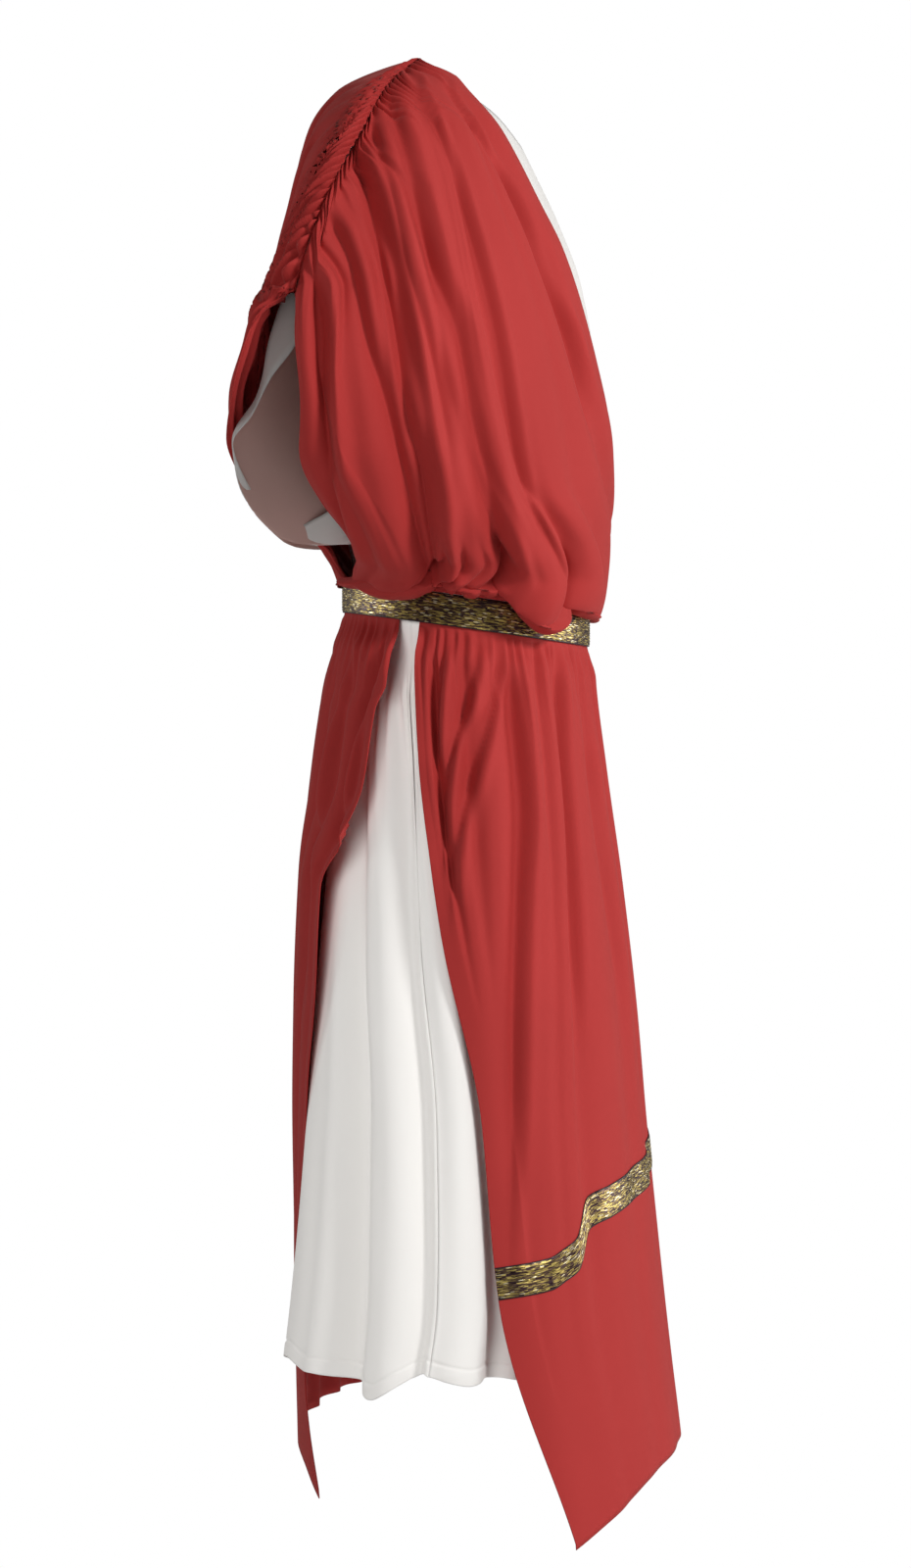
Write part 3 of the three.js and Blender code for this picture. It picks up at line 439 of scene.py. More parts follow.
def between(lines, c, read):
    """A value read smoothly between neighbouring fold lines."""
    last = len(lines) - 1
    k = int(max(0, min(math.floor(c), last - 1)))
    t = c - k
    a = read(lines[k])
    b = read(lines[k + 1])
    before = read(lines[k - 1]) if k > 0 else 2 * a - b
    after = read(lines[k + 2]) if k + 1 < last else 2 * b - a
    square = 2 * before - 5 * a + 4 * b - after
    cube = 3 * (a - b) + after - before
    return a + 0.5 * t * (b - before + t * (square + t * cube))


def value(lines, c, name):
    """One of the fold lines' values, read between neighbouring lines."""
    return between(lines, c, lambda line: line[name])


def value_at(lines, c, name, down):
    """One of the fold lines' curves, read between neighbouring lines at some depths."""
    return between(lines, c, lambda line: line[name](down))


VALLEY_SHARP = 1.45


def wave(lines, c, read):
    """Fold depth between two lines, with broad ridges and narrow valleys."""
    k = int(max(0, min(math.floor(c), len(lines) - 2)))
    t = c - k
    a = np.asarray(read(lines[k]), float)
    b = np.asarray(read(lines[k + 1]), float)
    late = t ** VALLEY_SHARP
    early = 1 - (1 - t) ** VALLEY_SHARP
    bent = np.where(a > b, late, early)
    return mix(a, b, 0.5 - 0.5 * np.cos(bent * math.pi))


def uneven(x, seed):
    """A smooth, uneven ripple between -1 and 1, the same on every run."""
    x = np.asarray(x, float)
    return (np.sin(1.7 * x + seed) + np.sin(2.9 * x + 2.3 * seed) + np.sin(4.3 * x + 1.1 * seed + 2)) / 3


def normals_of(grid):
    """Unit normals of a grid of points, on its outer side."""
    along = np.gradient(grid, axis=0)
    down = np.gradient(grid, axis=1)
    n = np.cross(down, along)
    length = np.linalg.norm(n, axis=2, keepdims=True)
    return n / np.maximum(length, 1e-9)


def build_mesh(name, points, quads, uv=None):
    """A smooth mesh object from points in millimetres."""
    mesh = bpy.data.meshes.new(name)
    mesh.vertices.add(len(points))
    mesh.vertices.foreach_set("co", (np.asarray(points, float) * MM).ravel())
    quads = np.asarray(quads, np.int32)
    mesh.loops.add(quads.size)
    mesh.loops.foreach_set("vertex_index", quads.ravel())
    mesh.polygons.add(len(quads))
    mesh.polygons.foreach_set("loop_start", np.arange(0, quads.size, 4, dtype=np.int32))
    mesh.polygons.foreach_set("loop_total", np.full(len(quads), 4, np.int32))
    mesh.polygons.foreach_set("use_smooth", np.ones(len(quads), bool))
    if uv is not None:
        layer = mesh.uv_layers.new(name="along_across")
        layer.data.foreach_set("uv", np.asarray(uv, float)[quads.ravel()].ravel())
    mesh.update(calc_edges=True)
    mesh.validate()
    piece = bpy.data.objects.new(name, mesh)
    bpy.context.scene.collection.objects.link(piece)
    return piece


def grid_quads(columns, rows, closed=False):
    i, j = np.meshgrid(np.arange(columns - (0 if closed else 1)), np.arange(rows - 1), indexing="ij")
    m = (i + 1) % columns
    corners = [i * rows + j, i * rows + j + 1, m * rows + j + 1, m * rows + j]
    return np.stack([corner.ravel() for corner in corners], axis=1)


def wall(name, outer, inner, closed=False, uv=None):
    """A closed wall of cloth between an outer and an inner grid."""
    columns, rows = outer.shape[:2]
    face = grid_quads(columns, rows, closed)
    count = columns * rows
    quads = [face, face[:, ::-1] + count]
    i = np.arange(columns - (0 if closed else 1))
    m = (i + 1) % columns

    def close(a, b):
        quads.append(np.stack([a, b, b + count, a + count], axis=1))

    close(i * rows, m * rows)
    close(m * rows + rows - 1, i * rows + rows - 1)
    if not closed:
        j = np.arange(rows - 1)
        close(j + 1, j)
        close((columns - 1) * rows + j, (columns - 1) * rows + j + 1)
    points = np.concatenate([outer.reshape(-1, 3), inner.reshape(-1, 3)])
    both = None if uv is None else np.concatenate([uv.reshape(-1, 2)] * 2)
    return build_mesh(name, points, np.concatenate(quads), both)


def cloth_wall(name, grid):
    """A wall of cloth behind a grid of points on its outer face."""
    return wall(name, grid, grid - normals_of(grid) * CLOTH)


def front_line(fold):
    """A fold line of the front drape, which leaves the shoulder seam and ends on the belt."""
    end = float(belt_top(fold["foot"])) + fold["hang"]
    first = fold["start"] + SEAM_RUN
    last = end - FOOT_RUN
    stations = [(down, fold[name]) for name, down in FRONT_LEVELS.items() if first < down < last]
    path = [(fold["start"], float(SEAM.angle(fold["start"]))), *stations, (end, fold["foot"])]
    sizes = [0, fold["high"], fold["middle"], fold["low"], fold["low"] * 0.8]
    return {
        "start": fold["start"],
        "end": end,
        "foot": fold["foot"],
        "angle": curve([p[0] for p in path], [p[1] for p in path]),
        "depth": curve([0, 0.22, 0.55, 0.93, 1], sizes),
    }


SEAM_VALLEY = {"deep": 2.2, "wide": 8.0, "turn": 14.0, "lap": 0.2}
GATHERS = {"deep": 2.4, "per_fold": 1.5, "front_reach": 58, "held": 0.45}
BACK_GATHERS = {"deep": 5.4, "reach": 88, "lean": 0.8, "droop": 0.03, "high": 0.5}


def gather_wave(c):
    """The gathers' height at a place along the seam, the same on its two sides."""
    phase = (2 * c * GATHERS["per_fold"] - 0.5) * math.pi + 0.6 * uneven(c * 1.3, 1.0)
    return (1 + 0.35 * uneven(c * 1.7, 5.0)) * np.sin(phase)


def held_flat(run):
    """How much of a gather shows beside the stitches that hold it."""
    return 1 - (1 - GATHERS["held"]) * np.exp(-run / 4)


def front_gathers(c, run):
    """Small gathers in front of the seam, uneven in depth and length."""
    length = GATHERS["front_reach"] * (1 + 0.5 * uneven(c * 2.1, 4.0))
    return GATHERS["deep"] * gather_wave(c) * held_flat(run) * ease(1 - run / length) ** 1.2


def near_edge(down):
    """The back drape's near edge, and where it is still held in the shoulder seam."""
    seamed = down < SEAM_FOOT
    seam = around(TOGA, np.minimum(down, SEAM_FOOT), SEAM.angle(down), TOGA_SQUARENESS)
    edge_x = np.where(seamed, seam[..., 0], BACK_EDGE.across(down))
    edge_y = np.where(seamed, seam[..., 1], BACK_EDGE.deep(down))
    return edge_x, edge_y, seamed


def back_gathers(grid, starts, cs):
    """Gathers behind the seam, which lean away from it and droop as they reach the back."""
    down = -grid[..., 2]
    edge_x, edge_y, _ = near_edge(down)
    away = np.hypot(grid[..., 0] - edge_x, grid[..., 1] - edge_y)
    start = down - BACK_GATHERS["lean"] * away - BACK_GATHERS["droop"] * away**2
    order = np.argsort(starts)
    c = np.interp(start, starts[order], cs[order])
    length = BACK_GATHERS["reach"] * (1 + 0.35 * uneven(c * 2.1, 6.0))
    size = BACK_GATHERS["deep"] * mix(BACK_GATHERS["high"], 1, ease(start / 90))
    shown = ease((start + 6) / 12) * ease((SEAM_FOOT + 14 - start) / 20) * ease(1 - away / length)
    return size * gather_wave(c) * held_flat(away) * shown


def seam_valley(run):
    """The stitched seam lies sunk between the gathers on its two sides."""
    return -SEAM_VALLEY["deep"] * np.exp(-((run / SEAM_VALLEY["wide"]) ** 2))


def seam_frame(starts):
    """Points along the shoulder seam, the way out from it and the way across it."""
    angle = SEAM.angle(starts)
    point = around(TOGA, starts, angle, TOGA_SQUARENESS)
    before = around(TOGA, starts, angle - 1, TOGA_SQUARENESS)
    across = around(TOGA, starts, angle + 1, TOGA_SQUARENESS) - before
    across /= np.linalg.norm(across, axis=1, keepdims=True)
    lift = -point[:, 0] * mix(1, 0.3, ease(starts / 90))
    outward = np.stack([point[:, 0], 0 * starts, lift], axis=1)
    outward /= np.maximum(np.linalg.norm(outward, axis=1, keepdims=True), 1e-9)
    return point, outward, across


ROLL = {"tall": 22, "deep": 9, "share": 0.45, "turn": 0.9}


def stand_out(angle, foot):
    """How far points stand out from the belt's outer face."""
    ring = on_belt(angle, 0, 0)
    outward = on_belt(angle, 1, 0) - ring
    level = foot - ring
    level[:, 2] = 0
    return np.maximum(np.einsum("ij,ij->i", level, outward), 1.4)


TUCK_ROWS = 12
# The share of a column's length at which the notches between the lobes begin.
NOTCH_START = 0.86


def tuck_rows(angle, foot, top):
    """Rows of a bloused edge: round the lobe's foot and back in to the belt's top edge."""
    stand = stand_out(angle, foot)
    sink = np.clip(stand * 0.28, 0.5, 6.5)
    rows = []
    for step in range(1, TUCK_ROWS + 1):
        turn = math.pi * step / TUCK_ROWS
        out = mix(stand, 1.0, 0.5 - 0.5 * math.cos(turn))
        rows.append(on_belt(angle, out, foot[:, 2] - sink * math.sin(turn)))
    hang = -foot[:, 2] - top
    for share in (0.35, 0.7, 1.0):
        goal = -top - np.clip(hang * 0.4, -2.0, 1.2) * (1 - share) + 0.4 * share
        rows.append(on_belt(angle, mix(1.0, 0.35, share), mix(foot[:, 2], goal, share)))
    return rows


def creases(grid, normal, rows, levels):
    """Main creases laid over a smooth sheet: a steep lip in front of each, a long slope behind."""
    deep = grid[..., 1]
    down = -grid[..., 2]
    out = np.zeros(deep.shape)
    for row in rows:
        lie = curve(list(levels.values()), [row[name] for name in levels])(down)
        step = (lie - deep) / np.maximum(np.abs(normal[..., 0]), 0.4)
        behind = np.exp(-((np.clip(-step, 0, None) / row["slope"]) ** 1.2))
        before = np.exp(-((np.clip(step, 0, None) / row["lip"]) ** 1.6))
        raised = 0.5 * np.exp(-(((step - 2.4 * row["lip"]) / (1.5 * row["lip"])) ** 2))
        near = ease(grid[..., 0] * row["side"] / 40)
        fall = ease((down - row["top"]) / row["run"]) * ease((row["foot"] - down) / row["fade"])
        out += row["size"] * (raised - np.where(step < 0, behind, before)) * near * fall
    return out


def drape(lines, columns, shares, surface, facing, form, notches):
    """Points of a drape from the shoulder seam to the belt, then its tucked edge."""
    cs = np.linspace(0, len(lines) - 1, columns)
    smooth = np.stack([surface(c, shares) for c in cs])
    starts = np.array([value(lines, c, "start") for c in cs])
    seam, outward, across = seam_frame(starts)
    smooth[:, 0] = seam
    steps = np.linalg.norm(np.diff(smooth, axis=1), axis=2)
    run = np.concatenate([np.zeros((columns, 1)), np.cumsum(steps, axis=1)], axis=1)
    turned = ease(run / SEAM_VALLEY["turn"])[..., None]
    normal = mix(outward[:, None, :], normals_of(smooth) * facing, turned)
    normal /= np.linalg.norm(normal, axis=2, keepdims=True)
    fold = np.stack([wave(lines, c, lambda line: line["depth"](shares)) for c in cs])
    angle = np.array([value(lines, c, "foot") for c in cs])
    out = fold * ease(run / 30) + seam_valley(run)
    cloth = {
        "smooth": smooth, "normal": normal, "run": run, "starts": starts,
        "cs": cs, "shares": shares, "foot": angle,
    }
    grid = smooth + normal * (out + form(cloth))[..., None]
    grid[:, 0] += across * facing * SEAM_VALLEY["lap"]
    for row in notches:
        rise = row["rise"] * np.exp(-(((angle - row["angle"]) / row["wide"]) ** 2))
        grid[..., 2] += rise[:, None] * ease((shares - NOTCH_START) / (1 - NOTCH_START))
    turn = np.clip(1 - (grid[..., 2] - grid[:, -1:, 2]) / ROLL["tall"], 0, 1)
    deep = np.minimum(ROLL["deep"], ROLL["share"] * stand_out(angle, grid[:, -1]))
    grid -= normal * (deep[:, None] * (1 - np.sqrt(1 - ROLL["turn"] * turn**2)))[..., None]
    rows = tuck_rows(angle, grid[:, -1], belt_top(angle))
    grid = np.concatenate([grid, np.stack(rows, axis=1)], axis=1)
    return grid if facing > 0 else grid[::-1]


def spread(count, crowd=1.5):
    """Shares from 0 to 1, closer together near both ends."""
    t = np.linspace(0, 1, count)
    return np.where(t < 0.5, 0.5 * (2 * t) ** crowd, 1 - 0.5 * (2 * (1 - t)) ** crowd)


WRINKLE_ROOM = 12


def wrinkles(cloth):
    """Faint, uneven wrinkles over a drape, fainter where its fold lines crowd together."""
    c = cloth["cs"][:, None]
    w = cloth["shares"][None, :]
    fine = 0.5 * uneven(c * 1.9 + 1.5 * w, 1.0) * ease(w / 0.1) * ease((1 - w) / 0.1)
    broad = 0.8 * uneven(c * 0.8 - w * 2.0, 4.0) * ease(w / 0.2)
    apart = np.abs(np.gradient(cloth["foot"], cloth["cs"]))[:, None]
    room = np.clip(apart / WRINKLE_ROOM, 0.2, 1)
    return (fine + broad) * mix(1, room, ease((w - 0.4) / 0.4))


# Lobes where the front drape blouses over the belt, by their angles round it, and the notches
# that are drawn up between them.
LOBES = table("start end swell top run", [
    (150, 102, 5, 0.72, 0.2),
    (99, 93, 3, 0.92, 0.06),
    (92, 84, 3, 0.9, 0.08),
    (83, 75, 3, 0.9, 0.08),
    (73, 42, 8, 0.72, 0.2),
    (40, 8, 6, 0.72, 0.2),
    (5, -20, 4, 0.72, 0.2),
    (-24, -50, 5, 0.72, 0.2),
    (-54, -84, 4, 0.72, 0.2),
])
NOTCHES = table("angle rise wide sink", [
    (100, 12, 2, 8), (92.5, 4, 1.3, 4), (83.5, 2, 1.5, 3), (74, 18, 1.8, 11),
    (41, 12, 2.2, 9), (6.5, 5, 3, 6), (-22, 4, 3, 5), (-52, 4, 3, 5),
])


def lobes(cloth):
    """The blouse's lobes, full in the middle and drawn in at their ends, above the belt."""
    w = cloth["shares"][None, :]
    angle = cloth["foot"][:, None]
    out = 0 * angle * w
    for row in LOBES:
        turn = np.clip((row["start"] - angle) / (row["start"] - row["end"]), 0, 1)
        out += row["swell"] * np.sin(turn * math.pi) ** 0.7 * ease((w - row["top"]) / row["run"])
    for row in NOTCHES:
        near = np.exp(-(((angle - row["angle"]) / (1.4 * row["wide"])) ** 2))
        out -= row["sink"] * near * ease((w - NOTCH_START) / 0.1)
    return out * mix(1, 0.55, ease((w - 0.92) / 0.08))


# Creases of the front drape. size is how deep each is cut, lip and slope how wide it is in
# front and behind. run says how soon it grows below its top and fade how soon it ends above its
# foot. y30 to y450 say how far back it lies at each depth. The sleeve side is -1 and the plain side 1.
FRONT_CREASES = table("side top foot run fade size lip slope y30 y80 y130 y180 y240 y300 y360 y420 y450", [
    (-1, 172, 440, 30, 60, 8.0, 6.0, 12, 150, 140, 130, 120, 107, 107, 103, 84, 78),
    (-1, 128, 462, 25, 30, 12.0, 7.0, 12, 128, 116, 104, 83, 70, 52, 38, 26, 19),
    (-1, 66, 462, 25, 25, 18.0, 8.0, 12, 92, 80, 65, 55, 43, 36, 22, 16, 12),
    (-1, 42, 400, 25, 130, 10.0, 6.5, 12, 74, 61, 47, 37, 20, 6, 0, -8, -18),
    (-1, 25, 470, 30, 50, 8.0, 7.0, 16, 53, 40, 27, 14, -8, -18, -33, -44, -48),
    (-1, 8, 470, 40, 90, 5.0, 4.0, 18, 26, 4, -12, -26, -40, -50, -61, -84, -97),
    (-1, 10, 350, 50, 60, 4.5, 4.0, 12, 1, -32, -60, -79, -103, -118, -130, -134, -134),
    (1, 120, 460, 60, 40, 5.0, 5.0, 16, 20, -10, -34, -60, -90, -104, -112, -110, -104),
    (1, 200, 460, 60, 40, 5.0, 5.0, 16, 20, 0, -20, -40, -62, -78, -84, -84, -80),
    (1, 260, 460, 60, 40, 4.0, 5.0, 16, 20, 10, 0, -18, -34, -48, -56, -58, -56),
])
DRAPE_LEVELS = {f"y{down}": down for down in (30, 80, 130, 180, 240, 300, 360, 420, 450)}


def front_form(cloth):
    cut = creases(cloth["smooth"], cloth["normal"], FRONT_CREASES, DRAPE_LEVELS)
    return wrinkles(cloth) + front_gathers(cloth["cs"][:, None], cloth["run"]) + cut + lobes(cloth)


def back_form(cloth):
    return wrinkles(cloth) + back_gathers(cloth["smooth"], cloth["starts"], cloth["cs"])


DRAPE_GRID = {"front_columns": 341, "front_rows": 110, "back_columns": 321, "back_rows": 104}


def toga_front_bodice():
    lines = [front_line(fold) for fold in FRONT_FOLDS]

    def surface(c, w):
        down = mix(value(lines, c, "start"), value(lines, c, "end"), w)
        return around(TOGA, down, value_at(lines, c, "angle", down), TOGA_SQUARENESS)

    shares = spread(DRAPE_GRID["front_rows"])
    grid = drape(lines, DRAPE_GRID["front_columns"], shares, surface, 1, front_form, NOTCHES)
    return cloth_wall("drape_front", grid)


def back_point(down, turn):
    """Points of the back drape: 0 is its free edge or the seam, 1 the spine and 2 the plain side."""
    down, turn = np.broadcast_arrays(np.asarray(down, float), np.asarray(turn, float))
    edge_x, edge_y, seamed = near_edge(down)
    spine = np.where(seamed, BACK_SPINE.spine(down), BACK_EDGE.spine(down))
    swell = np.where(seamed, BACK_SPINE.swell(down), BACK_EDGE.swell(down))
    left = np.where(seamed, TOGA.left(down), BACK_EDGE.left(down))
    core = np.where(seamed, TOGA.core(down), BACK_EDGE.core(down))
    quarter = turn * math.pi / 2
    near_y = mix(edge_y, spine, np.sin(quarter)) + swell * np.sin(turn * math.pi)
    far_y = mix(core, spine, np.sin(quarter))
    x = np.where(turn <= 1, edge_x * np.cos(quarter), -left * np.cos(quarter))
    return np.stack([x, np.where(turn <= 1, near_y, far_y), -down], axis=-1)


def back_line(fold):
    foot = mix(BACK_FOOT["near"], BACK_FOOT["far"], fold["share"])
    end = float(belt_top(foot)) + fold["hang"]
    swing = mix(BACK_SWING["top"], BACK_SWING["low"], ease(fold["start"] / BACK_SWING["start"]))

    def turn(down):
        swung = 1 - (1 - np.clip((down - fold["start"]) / swing, 0, 1)) ** 2
        return fold["share"] * BACK_NECK.turn(down) * swung

    depth = curve([0, 0.2, 0.6, 0.93, 1], [0, fold["high"], fold["middle"], fold["low"], 0])
    return {"start": fold["start"], "end": end, "foot": foot, "turn": turn, "depth": depth}


def toga_back_bodice():
    lines = [back_line(fold) for fold in BACK_FOLDS]

    def surface(c, w):
        down = mix(value(lines, c, "start"), value(lines, c, "end"), w)
        return back_point(down, np.maximum(0, value_at(lines, c, "turn", down)))

    shares = spread(DRAPE_GRID["back_rows"])
    grid = drape(lines, DRAPE_GRID["back_columns"], shares, surface, -1, back_form, [])
    return cloth_wall("drape_back", grid)


def skirt_points(down, angle, squareness):
    """Skirt cloth: flat behind the belt, then out to its own sections."""
    free = down - belt_top(angle) - BELT["wide"]
    held = on_belt(angle, -BELT_THICK - UNDER_BELT, -down)
    open_points = around(SKIRT, down, angle, squareness)
    return held + (open_points - held) * ease(free / 28)[..., None]


def skirt_depth(fold):
    sizes = [0, fold["high"] * 0.8, fold["high"], fold["middle"], fold["low"]]
    return curve([498, 525, 590, 820, 1150], sizes)


def meet(angle_at, edge, guess):
    """The depth at which a fold line meets an edge that is given by angle."""
    down = guess
    for _ in range(12):
        down = mix(down, float(edge.down(angle_at(down))), 0.7)
    return down


PLEATS = {"depth": 2.4, "pitch": 4.8, "fade": 80}

# Creases of the red skirts, by the same measures as those of the drape.
SKIRT_CREASES = table("side top foot run fade size lip slope y500 y540 y580 y640 y700 y800 y900 y1000", [
    (-1, 484, 610, 14, 30, 6.5, 3.0, 8, 5, 11, 14, 15, 16, 16, 16, 16),
    (-1, 486, 700, 14, 40, 7.0, 3.5, 11, -23, -15, -2, 7, 8, 8, 8, 8),
    (-1, 488, 740, 16, 60, 6.5, 4.0, 14, -43, -37, -26, -9, 1, 4, 4, 4),
    (-1, 500, 1060, 40, 200, 6.0, 5.0, 18, -49, -54, -58, -63, -59, -55, -53, -49),
    (-1, 500, 860, 30, 120, 4.0, 4.0, 12, -91, -93, -95, -100, -104, -109, -112, -114),
    (-1, 560, 860, 50, 120, 3.5, 4.0, 12, -112, -114, -117, -123, -133, -146, -150, -152),
    (1, 500, 900, 40, 120, 5.0, 5.0, 16, -60, -62, -66, -72, -78, -84, -88, -90),
    (1, 500, 1000, 40, 120, 5.0, 5.0, 18, -20, -22, -26, -34, -42, -52, -58, -62),
])
BACK_SKIRT_CREASES = table("side top foot run fade size lip slope y500 y540 y580 y640 y700 y800 y900 y1000", [
    (-1, 478, 690, 20, 40, 6.0, 3.0, 10, 57, 70, 82, 92, 96, 100, 100, 100),
    (-1, 478, 820, 20, 80, 6.0, 4.0, 12, 84, 94, 103, 112, 117, 122, 124, 124),
])
SKIRT_CREASE_LEVELS = {f"y{down}": down for down in (500, 540, 580, 640, 700, 800, 900, 1000)}


def pleats(angle, free, seed):
    """Small pleats that the belt holds, uneven and fading as they fall."""
    phase = 2 * math.pi * angle / PLEATS["pitch"] + 2.2 * uneven(angle * 0.13, seed)
    size = PLEATS["depth"] * (0.55 + 0.6 * uneven(angle * 0.19, seed + 1))
    fall = PLEATS["fade"] * (1 + 0.7 * uneven(angle * 0.31, seed + 2))
    return size * np.sin(phase) * ease(free / 8) * ease(1 - free / fall)


def skirt_sheet(lines, columns, rows_at, facing, seed, cuts):
    """A skirt panel's points. rows_at gives a column's depths from its fold line."""
    cs = np.linspace(0, len(lines) - 1, columns)
    squareness = SKIRT_SQUARENESS if facing > 0 else BACK_SKIRT_SQUARENESS
    smooth = []
    out = []
    frees = []
    for c in cs:
        downs = rows_at(lambda down: value_at(lines, c, "angle", down))
        angle = value_at(lines, c, "angle", downs)
        smooth.append(skirt_points(downs, angle, squareness))
        free = downs - belt_top(angle) - BELT["wide"]
        frees.append(free)
        fold = wave(lines, c, lambda line: line["depth"](downs)) * ease(free / 20)
        held = value_at(lines, c, "angle", 480.0)
        soft = 0.8 * uneven(angle * 0.09 + downs * 0.004, seed) * ease(free / 200)
        out.append(fold + pleats(held, free, seed) + soft)
    smooth = np.stack(smooth)
    normal = normals_of(smooth) * facing
    clear = ease((np.stack(frees) - 6) / 45)
    out = np.stack(out) + creases(smooth, normal, cuts, SKIRT_CREASE_LEVELS) * clear
    grid = smooth + normal * out[..., None]
    return grid if facing > 0 else grid[::-1]


def front_skirt_lines():
    at = list(SKIRT_LEVELS.values())
    lines = []
    for fold in SKIRT_FOLDS:
        lines.append({"angle": curve(at, [fold[name] for name in SKIRT_LEVELS]), "depth": skirt_depth(fold)})
    return lines


def skirt_top(angle_at):
    """The depths at which a skirt's column starts behind the belt and leaves it."""
    top = float(belt_top(angle_at(470.0))) + 6
    return top, float(belt_top(angle_at(490.0))) + BELT["wide"]


SKIRT_ROWS = {"belt": 4, "upper": 84, "ribbon": 8, "lower": 44, "back": 110}
SKIRT_COLUMNS = {"front": 281, "back": 225}


def front_skirt_grid():
    def rows_at(angle_at):
        top, belt = skirt_top(angle_at)
        ribbon = meet(angle_at, RIBBON_TOP, 960.0)
        foot = meet(angle_at, FRONT_HEM, 1180.0)
        lower = ribbon + RIBBON_WIDTH
        parts = [
            np.linspace(top, belt, SKIRT_ROWS["belt"], endpoint=False),
            belt + (ribbon - belt) * np.linspace(0, 1, SKIRT_ROWS["upper"], endpoint=False) ** 1.25,
            np.linspace(ribbon, lower, SKIRT_ROWS["ribbon"], endpoint=False),
            np.linspace(lower, foot, SKIRT_ROWS["lower"]),
        ]
        return np.concatenate(parts)

    columns = SKIRT_COLUMNS["front"]
    return skirt_sheet(front_skirt_lines(), columns, rows_at, 1, 3.0, SKIRT_CREASES)


def back_skirt_grid():
    lines = []
    for fold in BACK_SKIRT_FOLDS:

        def angle(down, share=fold["share"]):
            return mix(BACK_SKIRT_EDGES.near(down), BACK_SKIRT_EDGES.far(down), share)

        lines.append({"angle": angle, "depth": skirt_depth(fold)})

    def rows_at(angle_at):
        top, belt = skirt_top(angle_at)
        foot = meet(angle_at, BACK_HEM, 1160.0)
        upper = np.linspace(top, belt, SKIRT_ROWS["belt"], endpoint=False)
        return np.concatenate([upper, belt + (foot - belt) * np.linspace(0, 1, SKIRT_ROWS["back"]) ** 1.2])

    return skirt_sheet(lines, SKIRT_COLUMNS["back"], rows_at, -1, 5.0, BACK_SKIRT_CREASES)


def tunic_top(share, neck_drop):
    """Where a tunic line starts: on the neck curve near the middle, on the shoulder further out."""
    reach = abs(share) / NECK["share"]
    if reach >= 1:
        t = (abs(share) - NECK["share"]) / (1 - NECK["share"])
        return mix(NECK_DOWN, SHOULDER_DOWN, t ** 1.15), SHOULDER_ANGLE
    down = mix(NECK_DOWN, neck_drop, math.cos(reach * math.pi / 2) ** 0.9)
    across = NECK["half"] * math.sin(reach * math.pi / 2)
    return down, min(SHOULDER_ANGLE, math.asin(min(1, across / float(TUNIC.half(down)))) / DEGREE)


TUNIC_GRID = {"columns": 193, "waist": 440, "upper_rows": 46, "lower_rows": 80, "hem_rows": 14}
HEM_BAND = TUNIC_HEM_STITCH + 4


def tunic_panel(name, folds, neck_drop, reach_at, facing, seed):
    """A tunic panel from neck and shoulder to its stitched hem."""
    lines = []
    for fold in folds:
        start, top_angle = tunic_top(fold["waist"], neck_drop)
        depth = curve([470, 510, 600, 850, TUNIC_HEM], [0, 0, fold["high"], fold["middle"], fold["low"]])

        def lie(down, fold=fold, start=start, top_angle=top_angle):
            share = mix(fold["waist"], fold["hem"], ease((down - 480) / (TUNIC_HEM - 480)))
            return np.sign(share) * mix(top_angle, np.abs(share) * reach_at(down), ease((down - start) / 70))

        lines.append({"start": start, "end": TUNIC_HEM + fold["drop"], "lie": lie, "depth": depth})
    cs = np.linspace(0, len(lines) - 1, TUNIC_GRID["columns"])
    smooth = []
    out = []
    for c in cs:
        start = value(lines, c, "start")
        end = value(lines, c, "end")
        band = end - HEM_BAND
        downs = np.concatenate([
            np.linspace(start, TUNIC_GRID["waist"], TUNIC_GRID["upper_rows"], endpoint=False),
            np.linspace(TUNIC_GRID["waist"], band, TUNIC_GRID["lower_rows"], endpoint=False),
            np.linspace(band, end, TUNIC_GRID["hem_rows"]),
        ])
        furthest = np.where(downs < 80, SHOULDER_ANGLE, 180)
        lie = np.clip(value_at(lines, c, "lie", downs), -furthest, furthest)
        points = around(TUNIC, downs, lie if facing > 0 else 180 - lie)
        points[:, 1] -= facing * SEAM_GAP / 2
        smooth.append(points)
        free = downs - 520
        small = 1.6 * np.sin(2 * math.pi * c * 2.2 + uneven(c, seed)) * ease(free / 20) * ease(1 - free / 150)
        ripple = 0.5 * uneven(c * 1.3 + downs * 0.008, seed) * ease((downs - 60) / 60)
        groove = -0.9 * np.exp(-(((end - downs - TUNIC_HEM_STITCH) / 1.2) ** 2))
        stitched = groove + 0.5 * ease((TUNIC_HEM_STITCH - end + downs) / 2)
        out.append(wave(lines, c, lambda line: line["depth"](downs)) + small + ripple + stitched)
    smooth = np.stack(smooth)
    grid = smooth + normals_of(smooth) * facing * np.stack(out)[..., None]
    grid = grid if facing > 0 else grid[::-1]
    return cloth_wall(name, grid)


def side_angle(armhole, down):
    return np.where(down < UNDERARM_DOWN, armhole(down), SIDE_SEAM.angle(down))


def tunic_front():
    return tunic_panel(
        "tunic_front_panel", TUNIC_FRONT_FOLDS, NECK["front_drop"],
        lambda down: side_angle(ARMHOLE.front, down), 1, 7.0,
    )


def tunic_back():
    folds = [
        {**fold, "waist": 1 - 2 * fold["waist"], "hem": 1 - 2 * fold["hem"]} for fold in TUNIC_BACK_FOLDS
    ]
    return tunic_panel(
        "tunic_back_panel", folds, NECK["back_drop"],
        lambda down: 180 - side_angle(ARMHOLE.back, down), -1, 8.0,
    )


SLEEVE_TURNS = 144
SLEEVE_ROWS = 40
SLEEVE_SWELL = curve([0, 0.2, 0.45, 0.7, 0.88, 1], [0, 0.45, 0.85, 1, 0.75, 0])


